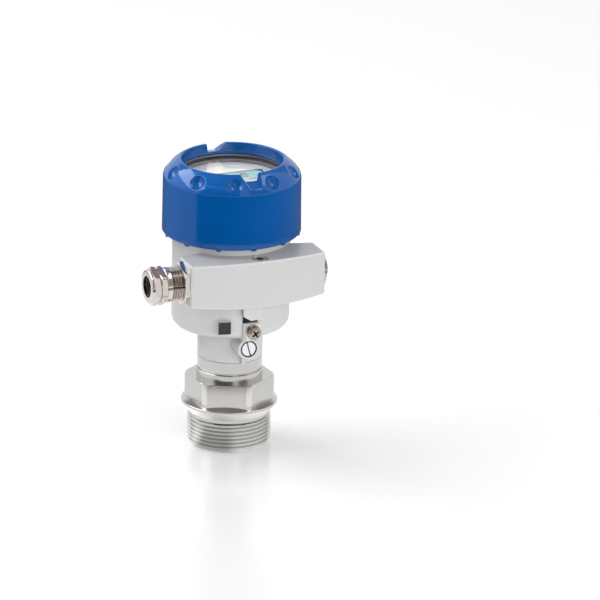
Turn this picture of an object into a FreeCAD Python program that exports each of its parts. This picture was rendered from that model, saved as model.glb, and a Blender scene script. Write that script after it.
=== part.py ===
"""Pressure transmitter with a flush ceramic measuring cell, as separate solids.

Millimetres. +Z is up along the axis of the screw connection, and Z = 0 is its lower end face.
The front of the housing, with the earth terminal, looks along -Y. The cable gland points along -X.
A height is named ..._z, a distance in front of the axis ..._front, a radius ..._r.
"""
import FreeCAD, Part
import math
import os

V = FreeCAD.Vector
UP = V(0, 0, 1)
FORWARD = V(0, -1, 0)
LEFT = V(-1, 0, 0)
RIGHT = V(1, 0, 0)

# Process connection, turned from one bar
thread_r = 23.9
thread_z = 16.9
end_chamfer_height = 2.55
end_face_width = 1.2
end_groove_depth = 0.9
undercut_depth = 1.3
undercut_height = 2.7
collar_r = 27.7
collar_height = 6.4
collar_foot_width = 1.0
collar_rim_height = 1.4
collar_cone_height = 1.8
collar_cone_inset = 0.2
hexagon_flats = 46.0
hexagon_turn = 35.0
hexagon_corner_cut = 0.7
hexagon_chamfer_rise = 0.6
ring_r = 19.1
ring_height = 4.4
ring_groove_depth = 0.9
ring_groove_height = 0.7
neck_z = 53.0
neck_r = 18.7
band_height = 7.0
spigot_r = 15.5
spigot_height = 17.0
lead_bore_r = 8.0

# Measuring cell in its chamber
cell_r = 14.1
cell_recess = 0.15
cell_mouth_gap = 0.45
cell_nose_height = 7.4
cell_flange_width = 2.1
cell_flange_height = 4.0
chamber_gap = 0.4
cell_seal_room = 2.55
clamp_thread_step = 0.6
clamp_ring_bore_r = 11.0
clamp_ring_height = 6.0
board_thickness = 1.6
sensor_board_r = 13.5
chamber_head_room = 3.0
chamber_roof_rise = 2.0

# Housing casting
neck_height = 18.9
drum_r = 33.8
drum_round = 5.5
floor_thickness = 5.5
floor_bore_r = 9.0
cavity_ledge_width = 2.1
cavity_ledge_rise = 1.8
drum_wall = 4.2
seal_ledge_rise = 6.7
seal_ledge_width = 1.2
seal_ledge_height = 0.9
seal_height = 2.6
cap_thread_step = 1.8
cap_thread_height = 14.6

# Cross bar of the housing with the two cable entries
bar_reach = 7.1
bar_front_reach = 8.9
bar_bow = 4.4
bar_back_depth = 6.4
bar_back_angle = 14.0
bar_inner_half = 20.0
bar_rise = 26.4
bar_height = 24.9
bar_sag = 2.9
bar_round = 1.3
entry_depth = 11.7
entry_rise = 12.0
entry_boss_wall = 1.8
entry_thread_r = 10.0
entry_thread_depth = 12.0
channel_r = 8.5

# Boss with a slotted set screw on the neck, and the rib above it
boss_wall = 2.4
boss_rise = 12.1
boss_reach = 11.0
set_screw_r = 4.25
set_screw_head = 2.4
set_screw_recess = 0.15
set_screw_shank_r = 3.0
set_screw_ring_gap = 0.4
set_screw_slot_width = 0.9
set_screw_slot_depth = 1.0
set_screw_turn = 15.0
web_width = 2.2
web_reach = 2.7
rib_width = 11.2
rib_reach = 1.4
wire_notch_depth = 2.2
wire_notch_gap = 0.5
wire_notch_height = 9.7
wire_notch_right_x = 3.0

# Earth terminal
earth_rise = 5.6
earth_plate_width = 9.0
earth_plate_height = 9.6
earth_plate_thickness = 1.2
earth_lock_washer_r = 4.3
earth_lock_washer_thickness = 1.0
earth_head_r = 3.9
earth_head_height = 2.6
earth_head_round = 1.2
earth_shank_r = 2.5
earth_shank_length = 9.0
earth_recess_width = 1.1
earth_recess_length = 4.6
earth_recess_depth = 1.6
earth_recess_turn = 35.0
washer_split_width = 0.6
washer_split_turn = 130.0
guard_reach = 2.2
guard_thickness = 1.2
guard_overhang = 0.8
guard_side_drop = 7.3
guard_tip_x = -2.0
guard_tip_drop = 10.2
guard_far_drop = 9.7
guard_bar_gap = 0.3
guard_foot_height = 5.0

# Marker plate on its pad
marker_size = 7.1
marker_thickness = 0.5
marker_x = -16.0
marker_rise = 8.4
marker_turn = 12.0
marker_inset = 1.6
pad_margin = 0.25
pad_root = 8.0

# Screwed cap with its window
cap_rim_drop = 1.8
cap_rim_wall = 3.8
cap_rim_clearance = 0.4
cap_side_draft = 0.3
cap_shoulder_drop = 9.0
cap_shoulder_round = 5.6
cap_dome_inset = 4.0
cap_dome_drop = 2.9
cap_dome_round = 22.0
cap_lip_width = 1.5
cap_lip_height = 7.3
cap_lip_round = 0.6
cap_lip_depth = 4.1
cap_chamber_inset = 2.4
cap_chamber_rise = 2.0
cap_edge_round = 0.8
dimple_count = 10
dimple_sphere_r = 5.7
dimple_centre_inset = 0.73
dimple_centre_drop = 2.6
notch_floor_rise = 2.6
notch_floor_tilt = 12.0
notch_floor_low_x = -3.2
notch_floor_high_x = 2.9
notch_steep_lean = 0.9
notch_slope_run = 3.5
notch_slope_rise = 4.7
lug_count = 12
lug_first_angle = -2.0
lug_width = 2.6
lug_depth = 0.8
lug_length = 2.6
lug_inset = 0.2
lug_root = 1.1
window_gasket_height = 0.6
glass_gap = 0.5
glass_thickness = 6.0
gasket_step = 0.7
window_ring_rise = 6.3
window_ring_step = 0.7
window_ring_height = 2.3
ring_slot_width = 3.0
ring_slot_depth = 1.2

# Display module with three keys
face_inset = 1.0
face_thickness = 0.95
face_glass_gap = 1.85
display_body_gap = 1.0
display_top_wall = 3.0
display_side_wall = 2.0
lcd_half_width = 21.2
lcd_back_y = 9.2
lcd_front_y = -8.9
lcd_thickness = 2.9
lcd_sink = 0.25
lcd_gap = 0.15
key_x_step = 12.0
key_inset = 11.1
key_r = 2.9
key_gap = 0.08
key_flange_r = 3.8
key_flange_height = 1.0
key_proud = 0.5
key_travel = 0.8
key_stop_gap = 0.05
switch_size = 6.0
switch_height = 2.2
display_board_gap = 0.6
post_r = 2.5
post_inset = 6.6
post_count = 3
small_screw_r = 1.0
small_head_r = 2.0
small_head_height = 1.5
small_screw_depth = 3.0

# Electronics module in the lower cavity
cup_gap = 0.3
cup_wall = 1.6
cup_height = 18.0
cup_ledge = 1.2
cup_hole_r = 6.0
main_board_gap = 0.2
cup_screw_x = 14.0
cup_screw_r = 1.5
cup_head_r = 2.75
cup_head_height = 2.0
cup_screw_depth = 4.0
block_poles = 4
block_pitch = 7.0
block_depth = 10.0
block_height = 11.0
block_y = -16.5
block_wire_r = 1.9
block_wire_z = 3.4
block_wire_depth = 6.0
block_screw_r = 1.9
block_screw_height = 3.0
block_screw_well = 5.0
block_screw_slot = 0.7
lead_r = 1.5
lead_shift = 4.0
lead_bend_r = 16.0
lead_bend_angle = 30.0
display_lead_inset = 9.0

# Cable gland, lengths along its axis outwards from the end face of the bar
locknut_wall = 1.0
locknut_length = 2.9
gland_thread_length = 6.9
gland_shoulder_step = 0.15
gland_shoulder_length = 3.1
gland_hexagon_length = 3.6
gland_nose_wall = 0.9
gland_nose_length = 2.4
gland_bore_r = 6.2
gland_seat_step = 1.9
gland_seat_depth = 3.6
gland_nut_gap = 0.4
gland_nut_wall = 1.0
gland_nut_hex_length = 3.7
gland_nut_length = 5.2
gland_nut_round = 1.3
gland_dome_inset = 0.1
gland_claw_wall = 0.7
gland_claw_gap = 0.12
gland_claw_length = 4.6
gland_claw_root = 1.5
gland_claw_slots = 8
gland_claw_slot_width = 1.0
gland_free_gap = 0.4
gland_claw_clearance = 0.2
gland_seal_bore_r = 4.1
gland_seal_length = 4.5
small_corner_cut = 0.25
small_chamfer_rise = 0.8
gland_hex_turn = 9.0

# Blind plug in the second cable entry
plug_flats = 17.0
plug_hexagon_length = 1.7
plug_hexagon_turn = 30.0
plug_flange_step = 1.2
plug_flange_length = 0.8
plug_seal_length = 0.5
plug_seal_inset = 0.2

# Socket screw in the top of the bar that locks the cap between its lugs
lock_x = 1.7
lock_reach = 0.8
lock_head_gap = 0.55
lock_sink = 0.1
lock_head_r = 4.25
lock_head_height = 3.9
lock_socket_flats = 4.0
lock_socket_depth = 2.2
lock_shank_r = 2.5
lock_shank_length = 4.0

# Rounds and allowances shared by several pieces
hexagon_cone_angle = 30.0
small_round = 0.4
casting_round = 0.6
inner_round = 2.0
rubber_round = 0.75
fit_gap = 0.05
seal_gap = 0.05
overrun = 1.0
on_face = 0.1
fullest_side = 0.95

# Process connection from both ends to its hexagon, and the measuring cell upwards
undercut_r = thread_r - undercut_depth
end_chamfer_r = thread_r - end_chamfer_height
end_groove_r = end_chamfer_r - end_face_width
collar_foot_r = undercut_r + collar_foot_width
ring_groove_r = ring_r - ring_groove_depth
collar_z = thread_z + undercut_height
hexagon_z = collar_z + collar_height
band_z = neck_z - band_height
ring_groove_z = band_z - ring_groove_height
ring_z = ring_groove_z - ring_height
spigot_top_z = neck_z + spigot_height

cell_flange_r = cell_r + cell_flange_width
chamber_r = cell_flange_r + chamber_gap
clamp_ring_r = chamber_r + clamp_thread_step
cell_flange_z = cell_recess + cell_nose_height
chamber_z = cell_flange_z - cell_seal_room
clamp_ring_z = cell_flange_z + cell_flange_height
sensor_board_z = clamp_ring_z + clamp_ring_height
sensor_board_top_z = sensor_board_z + board_thickness
chamber_top_z = sensor_board_top_z + chamber_head_room

# Housing, from the neck upwards and from the drum outwards and inwards
drum_z = neck_z + neck_height
floor_z = drum_z + floor_thickness
bar_low_z = drum_z + bar_rise
bar_top_z = bar_low_z + bar_height
cavity_ledge_z = bar_top_z + cavity_ledge_rise
seal_ledge_z = bar_top_z + seal_ledge_rise
seal_z = seal_ledge_z + seal_ledge_height
cap_thread_z = seal_z + seal_height
housing_top_z = cap_thread_z + cap_thread_height
upper_cavity_r = drum_r - drum_wall
cavity_r = upper_cavity_r - cavity_ledge_width
seal_ledge_r = drum_r + seal_ledge_width
cap_thread_r = drum_r + cap_thread_step

bar_half = drum_r + bar_reach
bar_front = drum_r + bar_front_reach
bar_front_middle = bar_front + bar_bow
entry_front = bar_front - entry_depth
entry_z = bar_low_z + entry_rise
entry_boss_r = entry_thread_r + entry_boss_wall
bar_back = entry_front - bar_back_depth

boss_r = set_screw_r + boss_wall
boss_z = neck_z + boss_rise
boss_front = neck_r + boss_reach
web_front = neck_r + web_reach
rib_front = drum_r + rib_reach
earth_z = drum_z + earth_rise
wire_notch_low_z = earth_z + earth_plate_height / 2 + wire_notch_gap
wire_notch_high_z = wire_notch_low_z + wire_notch_height
guard_front = rib_front + guard_reach
guard_left = rib_width / 2 + guard_overhang
guard_top_z = bar_low_z - bar_sag - guard_bar_gap
guard_side_z = guard_top_z - guard_side_drop
guard_tip_z = guard_top_z - guard_tip_drop
guard_far_z = guard_top_z - guard_far_drop
marker_z = drum_z + marker_rise
marker_front = drum_r - marker_inset

# Cap with its window, from the housing upwards and inwards
cap_rim_z = seal_ledge_z - cap_rim_drop
cap_chamber_z = housing_top_z + cap_chamber_rise
window_ring_z = housing_top_z + window_ring_rise
glass_z = window_ring_z + window_ring_height
glass_top_z = glass_z + glass_thickness
cap_lip_z = glass_top_z + window_gasket_height
cap_top_z = cap_lip_z + cap_lip_height
cap_shoulder_z = cap_top_z - cap_shoulder_drop
cap_dome_z = cap_top_z - cap_dome_drop
dimple_centre_z = cap_top_z - dimple_centre_drop
notch_floor_z = cap_lip_z + notch_floor_rise
cap_rim_bore_r = cap_thread_r + cap_rim_clearance
cap_rim_r = cap_rim_bore_r + cap_rim_wall
cap_side_r = cap_rim_r - cap_side_draft
cap_dome_r = cap_side_r - cap_dome_inset
dimple_centre_r = cap_side_r - dimple_centre_inset
cap_chamber_r = cap_thread_r - cap_chamber_inset
cap_opening_r = cap_chamber_r - cap_lip_depth
cap_lip_r = cap_opening_r + cap_lip_width
glass_r = cap_chamber_r - glass_gap
gasket_bore_r = cap_opening_r + gasket_step
window_ring_r = cap_chamber_r - fit_gap
window_ring_bore_r = cap_opening_r - window_ring_step
lock_front = cap_rim_r + lock_reach
lock_counterbore_r = lock_head_r + lock_head_gap
lock_counterbore_depth = lock_head_height + lock_sink

# Display module, from the glass downwards and from the cavity inwards
face_top_z = glass_z - face_glass_gap
face_z = face_top_z - face_thickness
top_wall_z = face_z - display_top_wall
lcd_top_z = face_top_z - lcd_sink
lcd_z = lcd_top_z - lcd_thickness
key_flange_top_z = top_wall_z - key_stop_gap
key_flange_z = key_flange_top_z - key_flange_height
switch_top_z = key_flange_z - key_travel - key_stop_gap
display_board_top_z = switch_top_z - switch_height
display_board_z = display_board_top_z - board_thickness
display_body_r = upper_cavity_r - display_body_gap
face_r = display_body_r - face_inset
display_board_r = display_body_r - display_side_wall - display_board_gap
post_circle_r = display_body_r - post_inset
display_lead_y = display_board_r - display_lead_inset
key_y = key_inset - display_body_r

# Electronics module
cup_r = cavity_r - cup_gap
cup_bore_r = cup_r - cup_wall
cup_floor_z = floor_z + cup_wall
main_board_z = floor_z + cup_height - board_thickness
main_board_top_z = main_board_z + board_thickness
main_board_r = cup_bore_r - main_board_gap

# Cable gland and plug
locknut_flats = 2 * (entry_thread_r + locknut_wall)
gland_shoulder_r = entry_thread_r + gland_shoulder_step
gland_seat_r = gland_bore_r + gland_seat_step
gland_nose_r = gland_seat_r + gland_nose_wall
gland_flats = 2 * (gland_nose_r + gland_nut_wall)
gland_thread_end = locknut_length + gland_thread_length
gland_shoulder_end = gland_thread_end + gland_shoulder_length
gland_body_end = gland_shoulder_end + gland_hexagon_length
gland_nose_end = gland_body_end + gland_nose_length
gland_nut_start = gland_body_end + gland_nut_gap
gland_nut_end = gland_nut_start + gland_nut_length
gland_seat_start = gland_nose_end - gland_seat_depth
claw_r = gland_seat_r - gland_claw_gap
claw_bore_r = claw_r - gland_claw_wall
gland_seal_r = claw_bore_r - gland_claw_gap
plug_flange_r = entry_thread_r + plug_flange_step
plug_seal_r = plug_flange_r - plug_seal_inset


def point(corner):
    """A corner given as (across, up) in the X-Z plane."""
    return V(corner[0], 0, corner[1])


def rounded_face(corners):
    """Flat face in the X-Z plane through (x, z) corners; a third number rounds that corner.

    Two rounds that would meet on the side between them are made smaller, so that they fit on it.
    """
    places = [point(corner) for corner in corners]
    afters = places[1:] + places[:1]
    befores = places[-1:] + places[:-1]
    half_angles = []
    reaches = []
    for corner, here, before, after in zip(corners, places, befores, afters):
        half_angle = (before - here).getAngle(after - here) / 2
        half_angles.append(half_angle)
        reaches.append(corner[2] / math.tan(half_angle) if len(corner) == 3 else 0.0)
    for index, here in enumerate(places):
        room = fullest_side * (here - befores[index]).Length
        taken = reaches[index - 1] + reaches[index]
        if taken > room:
            reaches[index - 1] *= room / taken
            reaches[index] *= room / taken
    stretches = []
    for half_angle, reach, here, before, after in zip(half_angles, reaches, places, befores, afters):
        if reach == 0:
            stretches.append([here])
            continue
        to_last = (before - here).normalize()
        to_next = (after - here).normalize()
        inward = (to_last + to_next).normalize()
        radius = reach * math.tan(half_angle)
        depth = radius / math.sin(half_angle) - radius
        stretches.append([here + to_last * reach, here + inward * depth, here + to_next * reach])
    edges = []
    count = len(stretches)
    for index, stretch in enumerate(stretches):
        if len(stretch) == 3:
            edges.append(Part.Arc(*stretch).toShape())
        edges.append(Part.makeLine(stretch[-1], stretches[(index + 1) % count][0]))
    return Part.Face(Part.Wire(edges))


def turned(corners):
    """Solid turned about +Z from an outline of (radius, height) corners."""
    return rounded_face(corners).revolve(V(0, 0, 0), UP, 360)


def cylinder(radius, low, high, x=0.0, y=0.0):
    """Upright cylinder between two heights."""
    return Part.makeCylinder(radius, high - low, V(x, y, low), UP)


def tube(outer, inner, low, high):
    """Upright tube between two heights."""
    return cylinder(outer, low, high).cut(cylinder(inner, low, high))


def block(low, high):
    """Box between two opposite corners."""
    size = V(*high) - V(*low)
    return Part.makeBox(size.x, size.y, size.z, V(*low))


def hexagon(flats, low, high, turn=0.0):
    """Upright hexagonal prism with one corner turned from +X by an angle."""
    corner_r = flats / math.sqrt(3)
    corners = []
    for side in range(7):
        angle = math.radians(turn + 60 * side)
        corners.append(V(corner_r * math.cos(angle), corner_r * math.sin(angle), low))
    return Part.Face(Part.makePolygon(corners)).extrude(V(0, 0, high - low))


def turned_hexagon(flats, corner_cut, rise, low, high, turn, cut_low, cut_high):
    """Hexagonal prism whose corners are turned down, with a flat cone of a given rise at its ends."""
    corner_r = flats / math.sqrt(3) - corner_cut
    cone_r = corner_r - rise / math.tan(math.radians(hexagon_cone_angle))
    outline = [(0, low)]
    if cut_low:
        outline += [(cone_r, low), (corner_r, low + rise)]
    else:
        outline += [(corner_r, low)]
    if cut_high:
        outline += [(corner_r, high - rise), (cone_r, high)]
    else:
        outline += [(corner_r, high)]
    outline += [(0, high)]
    return hexagon(flats, low, high, turn).common(turned(outline))


def small_hexagon(flats, low, high, turn, cut_low, cut_high):
    """Hexagon of a nut or a plug."""
    return turned_hexagon(flats, small_corner_cut, small_chamfer_rise, low, high, turn, cut_low, cut_high)


def placed(shape, base, direction):
    """Shape built about +Z from the origin, put at a base and pointed along a direction."""
    moved = shape.copy()
    moved.Placement = FreeCAD.Placement(base, FreeCAD.Rotation(UP, direction))
    return moved


def at_entry(shape, direction):
    """Shape built about +Z, put at the end face of the bar that looks along a direction."""
    return placed(shape, V(direction.x * bar_half, -entry_front, entry_z), direction)


def spun(shape, angle):
    """Shape turned about the main axis."""
    copy = shape.copy()
    copy.rotate(V(0, 0, 0), UP, angle)
    return copy


def process_connection():
    """Turned steel body: thread, collar, hexagon, band and the spigot in the neck of the housing."""
    mouth_r = cell_r + cell_mouth_gap
    body = turned([
        (mouth_r, 0), (end_groove_r, 0), (end_groove_r, end_groove_depth),
        (end_chamfer_r, end_groove_depth), (end_chamfer_r, 0), (thread_r, end_chamfer_height),
        (thread_r, thread_z), (undercut_r, thread_z + (thread_r - undercut_r) / 2),
        (undercut_r, collar_z), (collar_foot_r, collar_z),
        (collar_r, hexagon_z - collar_rim_height), (collar_r, hexagon_z, small_round),
        (hexagon_flats / 2 - collar_cone_inset, hexagon_z + collar_cone_height),
        (ring_r, hexagon_z + collar_cone_height),
        (ring_r, ring_groove_z, small_round), (ring_groove_r, ring_groove_z), (ring_groove_r, band_z),
        (neck_r, band_z, small_round), (neck_r, neck_z), (spigot_r, neck_z), (spigot_r, spigot_top_z),
        (lead_bore_r, spigot_top_z), (lead_bore_r, chamber_top_z + chamber_roof_rise),
        (clamp_ring_r, chamber_top_z),
        (clamp_ring_r, clamp_ring_z), (chamber_r, clamp_ring_z), (chamber_r, chamber_z),
        (mouth_r, chamber_z)])
    nut = turned_hexagon(hexagon_flats, hexagon_corner_cut, hexagon_chamfer_rise, hexagon_z, ring_z,
                         hexagon_turn, False, True)
    nut = nut.cut(cylinder(ring_groove_r, hexagon_z, ring_z))
    return body.fuse(nut).removeSplitter()


def ceramic_cell():
    """Ceramic measuring cell: flush nose and the flange that is clamped behind it."""
    return turned([
        (0, cell_recess), (cell_r, cell_recess), (cell_r, cell_flange_z), (cell_flange_r, cell_flange_z),
        (cell_flange_r, clamp_ring_z), (0, clamp_ring_z)])


def cell_seal():
    """Squeezed sealing ring between the nose of the cell and the chamber."""
    low = chamber_z + seal_gap
    high = cell_flange_z - seal_gap
    return turned([
        (cell_r + seal_gap, low, rubber_round), (chamber_r - seal_gap, low, rubber_round),
        (chamber_r - seal_gap, high, rubber_round), (cell_r + seal_gap, high, rubber_round)])


def cell_clamp_ring():
    """Threaded ring that clamps the cell, with two slots for its key."""
    ring = tube(clamp_ring_r - fit_gap, clamp_ring_bore_r, clamp_ring_z, sensor_board_z)
    slot = block((-ring_slot_width / 2, -clamp_ring_r, sensor_board_z - ring_slot_depth),
                 (ring_slot_width / 2, clamp_ring_r, sensor_board_z))
    return ring.cut(slot)


def sensor_board():
    """Small round circuit board on the clamp ring."""
    return cylinder(sensor_board_r, sensor_board_z, sensor_board_top_z)


def lead(base_x, base_y, shift, low, high):
    """Lead with one gentle sideways step between two boards."""
    half_bend = math.radians(lead_bend_angle / 2)
    reach = lead_bend_r * math.tan(half_bend)
    middle_z = (low + high) / 2
    step = abs(shift) / math.tan(2 * half_bend) / 2
    side = math.copysign(1.0, shift)
    first_bend = V(base_x, base_y, middle_z - step)
    second_bend = V(base_x + shift, base_y, middle_z + step)
    slant = (second_bend - first_bend).normalize()
    first_centre = V(base_x + side * lead_bend_r, base_y, first_bend.z - reach)
    second_centre = V(base_x + shift - side * lead_bend_r, base_y, second_bend.z + reach)
    mid_x = lead_bend_r * math.cos(half_bend)
    mid_z = lead_bend_r * math.sin(half_bend)
    path = Part.Wire([
        Part.makeLine(V(base_x, base_y, low), first_bend - UP * reach),
        Part.Arc(first_bend - UP * reach, first_centre + V(-side * mid_x, 0, mid_z),
                 first_bend + slant * reach).toShape(),
        Part.makeLine(first_bend + slant * reach, second_bend - slant * reach),
        Part.Arc(second_bend - slant * reach, second_centre + V(side * mid_x, 0, -mid_z),
                 second_bend + UP * reach).toShape(),
        Part.makeLine(second_bend + UP * reach, V(base_x + shift, base_y, high))])
    start = Part.Wire(Part.Circle(V(base_x, base_y, low), UP, lead_r).toShape())
    return path.makePipeShell([start], True, False)


def sensor_lead():
    """Lead from the sensor board up to the electronics."""
    return lead(0.0, 0.0, lead_shift, sensor_board_top_z, main_board_z)


def display_lead():
    """Lead from the electronics up to the display board."""
    return lead(0.0, display_lead_y, lead_shift, main_board_top_z, display_board_z)


def bar_casting():
    """Cross bar with its bowed front, sagging lower edge and rounded outer edges."""
    back_inner = bar_back - (bar_half - bar_inner_half) * math.tan(math.radians(bar_back_angle))
    low_z = bar_low_z - bar_sag
    left_front = V(-bar_half, -bar_front, low_z)
    right_front = V(bar_half, -bar_front, low_z)
    outline = Part.Wire([
        Part.Arc(left_front, V(0, -bar_front_middle, low_z), right_front).toShape(),
        Part.makePolygon([
            right_front, V(bar_half, -bar_back, low_z), V(bar_inner_half, -back_inner, low_z),
            V(-bar_inner_half, -back_inner, low_z), V(-bar_half, -bar_back, low_z), left_front])])
    bar = Part.Face(outline).extrude(UP * (bar_top_z - low_z))
    side = Part.Wire([
        Part.Arc(V(-bar_half, 0, bar_low_z), V(0, 0, low_z), V(bar_half, 0, bar_low_z)).toShape(),
        Part.makePolygon([
            V(bar_half, 0, bar_low_z), V(bar_half, 0, bar_top_z), V(-bar_half, 0, bar_top_z),
            V(-bar_half, 0, bar_low_z)])])
    bar = bar.common(Part.Face(side).extrude(FORWARD * (bar_front_middle + overrun)))
    outer_edges = []
    for edge in bar.Edges:
        box = edge.BoundBox
        upright = box.XLength + box.YLength < on_face
        in_front = box.Center.y < -(bar_front + bar_back) / 2
        if box.YMax < -bar_back + on_face and (in_front or not upright):
            outer_edges.append(edge)
    return bar.makeFillet(bar_round, outer_edges)


def rib_casting():
    """Upright rib in front of the drum that carries the earth terminal, with a notch for its wire."""
    half = rib_width / 2
    rib = block((-half, -rib_front, drum_z), (half, -cavity_r - overrun, bar_low_z))
    front_corners = []
    for edge in rib.Edges:
        middle = edge.CenterOfMass
        if middle.y < -rib_front + on_face and abs(middle.x) > half - on_face:
            front_corners.append(edge)
    rib = rib.makeFillet(casting_round, front_corners)
    return rib.cut(block((-half - overrun, -rib_front - overrun, wire_notch_low_z),
                         (wire_notch_right_x, -rib_front + wire_notch_depth, wire_notch_high_z)))


def marker_place():
    """Middle of the marker plate's seat and the direction that it looks in."""
    angle = math.radians(marker_turn)
    return V(marker_x, -marker_front, marker_z), V(-math.sin(angle), -math.cos(angle), 0)


def marker_box(size, low, high):
    """Square slab in the marker's own place, between two distances out from its seat."""
    base, outward = marker_place()
    slab = block((-size / 2, -size / 2, low), (size / 2, size / 2, high))
    across = V(-outward.y, outward.x, 0)
    turn = FreeCAD.Rotation(across * -1, UP, outward, "ZXY")
    slab.Placement = FreeCAD.Placement(base, turn)
    return slab


def housing():
    """Casting: neck, drum, cross bar, boss, rib and pad, hollowed and bored."""
    shell = turned([
        (0, neck_z), (neck_r, neck_z, small_round), (neck_r, drum_z, inner_round),
        (drum_r, drum_z, drum_round),
        (drum_r, seal_ledge_z), (seal_ledge_r, seal_ledge_z), (seal_ledge_r, seal_z),
        (drum_r, seal_z), (drum_r, cap_thread_z), (cap_thread_r, cap_thread_z),
        (cap_thread_r, housing_top_z, casting_round), (0, housing_top_z)])
    boss = placed(cylinder(boss_r, 0, boss_front - lead_bore_r), V(0, -lead_bore_r, boss_z), FORWARD)
    front_rim = [edge for edge in boss.Edges if edge.BoundBox.YMax < -boss_front + on_face]
    boss = boss.makeFillet(casting_round, front_rim)
    web = block((-web_width / 2, -web_front, neck_z), (web_width / 2, -spigot_r - overrun, boss_z))
    entries = placed(cylinder(entry_boss_r, 0, 2 * bar_half), V(-bar_half, -entry_front, entry_z), RIGHT)
    pad = marker_box(marker_size + 2 * pad_margin, -pad_root, 0.0)
    body = shell
    for piece in (bar_casting(), boss, web, rib_casting(), entries, pad):
        body = body.fuse(piece)
    cavity = turned([
        (0, floor_z), (cavity_r, floor_z, inner_round), (cavity_r, cavity_ledge_z),
        (upper_cavity_r, cavity_ledge_z), (upper_cavity_r, housing_top_z), (0, housing_top_z)])
    cuts = [
        cavity,
        cylinder(spigot_r + fit_gap, neck_z, spigot_top_z + fit_gap),
        cylinder(floor_bore_r, spigot_top_z, floor_z),
        placed(cylinder(channel_r, 0, 2 * bar_half), V(-bar_half, -entry_front, entry_z), RIGHT),
        at_entry(cylinder(entry_thread_r + fit_gap, -entry_thread_depth, 0), LEFT),
        at_entry(cylinder(entry_thread_r + fit_gap, -entry_thread_depth, 0), RIGHT),
        set_screw_hole(),
        earth_hole(),
        lock_screw_hole()]
    for angle in (0, 180):
        hole = cylinder(cup_screw_r + fit_gap, floor_z - cup_screw_depth, floor_z, cup_screw_x)
        cuts.append(spun(hole, angle))
    for cut in cuts:
        body = body.cut(cut)
    return body.removeSplitter()


def set_screw_hole():
    """Counterbored hole in the boss, through to the spigot."""
    head = cylinder(set_screw_r + set_screw_ring_gap, -set_screw_head, 0)
    shank = cylinder(set_screw_shank_r + fit_gap, spigot_r - boss_front, 0)
    return placed(head.fuse(shank), V(0, -boss_front, boss_z), FORWARD)


def neck_set_screw():
    """Slotted screw in the boss that holds the spigot in the neck."""
    top = -set_screw_recess
    head = cylinder(set_screw_r, -set_screw_head, top)
    shank = cylinder(set_screw_shank_r, spigot_r + 2 * fit_gap - boss_front, -set_screw_head)
    slot = block((-set_screw_slot_width / 2, -set_screw_r, top - set_screw_slot_depth),
                 (set_screw_slot_width / 2, set_screw_r, top))
    slot.rotate(V(0, 0, 0), UP, set_screw_turn)
    return placed(head.fuse(shank).cut(slot), V(0, -boss_front, boss_z), FORWARD)


def earth_hole():
    """Threaded hole of the earth screw in the rib."""
    hole = cylinder(earth_shank_r + fit_gap, -earth_shank_length + earth_plate_thickness, 0)
    return placed(hole, V(0, -rib_front, earth_z), FORWARD)


def earth_plate():
    """Square clamping plate of the earth terminal."""
    plate = block((-earth_plate_width / 2, -earth_plate_height / 2, 0),
                  (earth_plate_width / 2, earth_plate_height / 2, earth_plate_thickness))
    plate = plate.cut(cylinder(earth_shank_r + fit_gap, 0, earth_plate_thickness))
    return placed(plate, V(0, -rib_front, earth_z), FORWARD)


def earth_lock_washer():
    """Split lock washer under the head of the earth screw."""
    low = earth_plate_thickness
    washer = tube(earth_lock_washer_r, earth_shank_r + fit_gap, low, low + earth_lock_washer_thickness)
    split = block((0, -washer_split_width / 2, low),
                  (earth_lock_washer_r, washer_split_width / 2, low + earth_lock_washer_thickness))
    split.rotate(V(0, 0, 0), UP, washer_split_turn)
    return placed(washer.cut(split), V(0, -rib_front, earth_z), FORWARD)


def earth_screw():
    """Pan head screw with a cross recess."""
    low = earth_plate_thickness + earth_lock_washer_thickness
    high = low + earth_head_height
    tip = earth_plate_thickness - earth_shank_length
    screw = turned([
        (0, tip), (earth_shank_r, tip), (earth_shank_r, low), (earth_head_r, low),
        (earth_head_r, high, earth_head_round), (0, high)])
    for angle in (earth_recess_turn, earth_recess_turn + 90):
        arm = block((-earth_recess_length / 2, -earth_recess_width / 2, high - earth_recess_depth),
                    (earth_recess_length / 2, earth_recess_width / 2, high))
        arm.rotate(V(0, 0, 0), UP, angle)
        screw = screw.cut(arm)
    return placed(screw, V(0, -rib_front, earth_z), FORWARD)


def earth_guard():
    """Bent plate above the terminal: a pointed tongue in front, its flange against the rib."""
    right = rib_width / 2
    tongue = Part.Face(Part.makePolygon([
        V(-guard_left, -guard_front, guard_top_z), V(-guard_left, -guard_front, guard_side_z),
        V(guard_tip_x, -guard_front, guard_tip_z), V(right, -guard_front, guard_far_z),
        V(right, -guard_front, guard_top_z), V(-guard_left, -guard_front, guard_top_z)]))
    tongue = tongue.extrude(V(0, guard_thickness, 0))
    flange = block((-right, -guard_front, guard_top_z - guard_thickness),
                   (right, -rib_front, guard_top_z))
    foot = block((-right, -rib_front - guard_thickness, guard_top_z - guard_foot_height),
                 (right, -rib_front, guard_top_z))
    return tongue.fuse(flange).fuse(foot).removeSplitter()


def marker_plate():
    """Small square plate on its pad, left blank."""
    return marker_box(marker_size, 0.0, marker_thickness)


def lock_screw_hole():
    """Counterbored hole in the top of the bar."""
    head_z = bar_top_z - lock_counterbore_depth
    head = cylinder(lock_counterbore_r, head_z, bar_top_z + overrun, lock_x, -lock_front)
    shank = cylinder(lock_shank_r + fit_gap, head_z - lock_shank_length, bar_top_z, lock_x, -lock_front)
    return head.fuse(shank)


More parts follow.
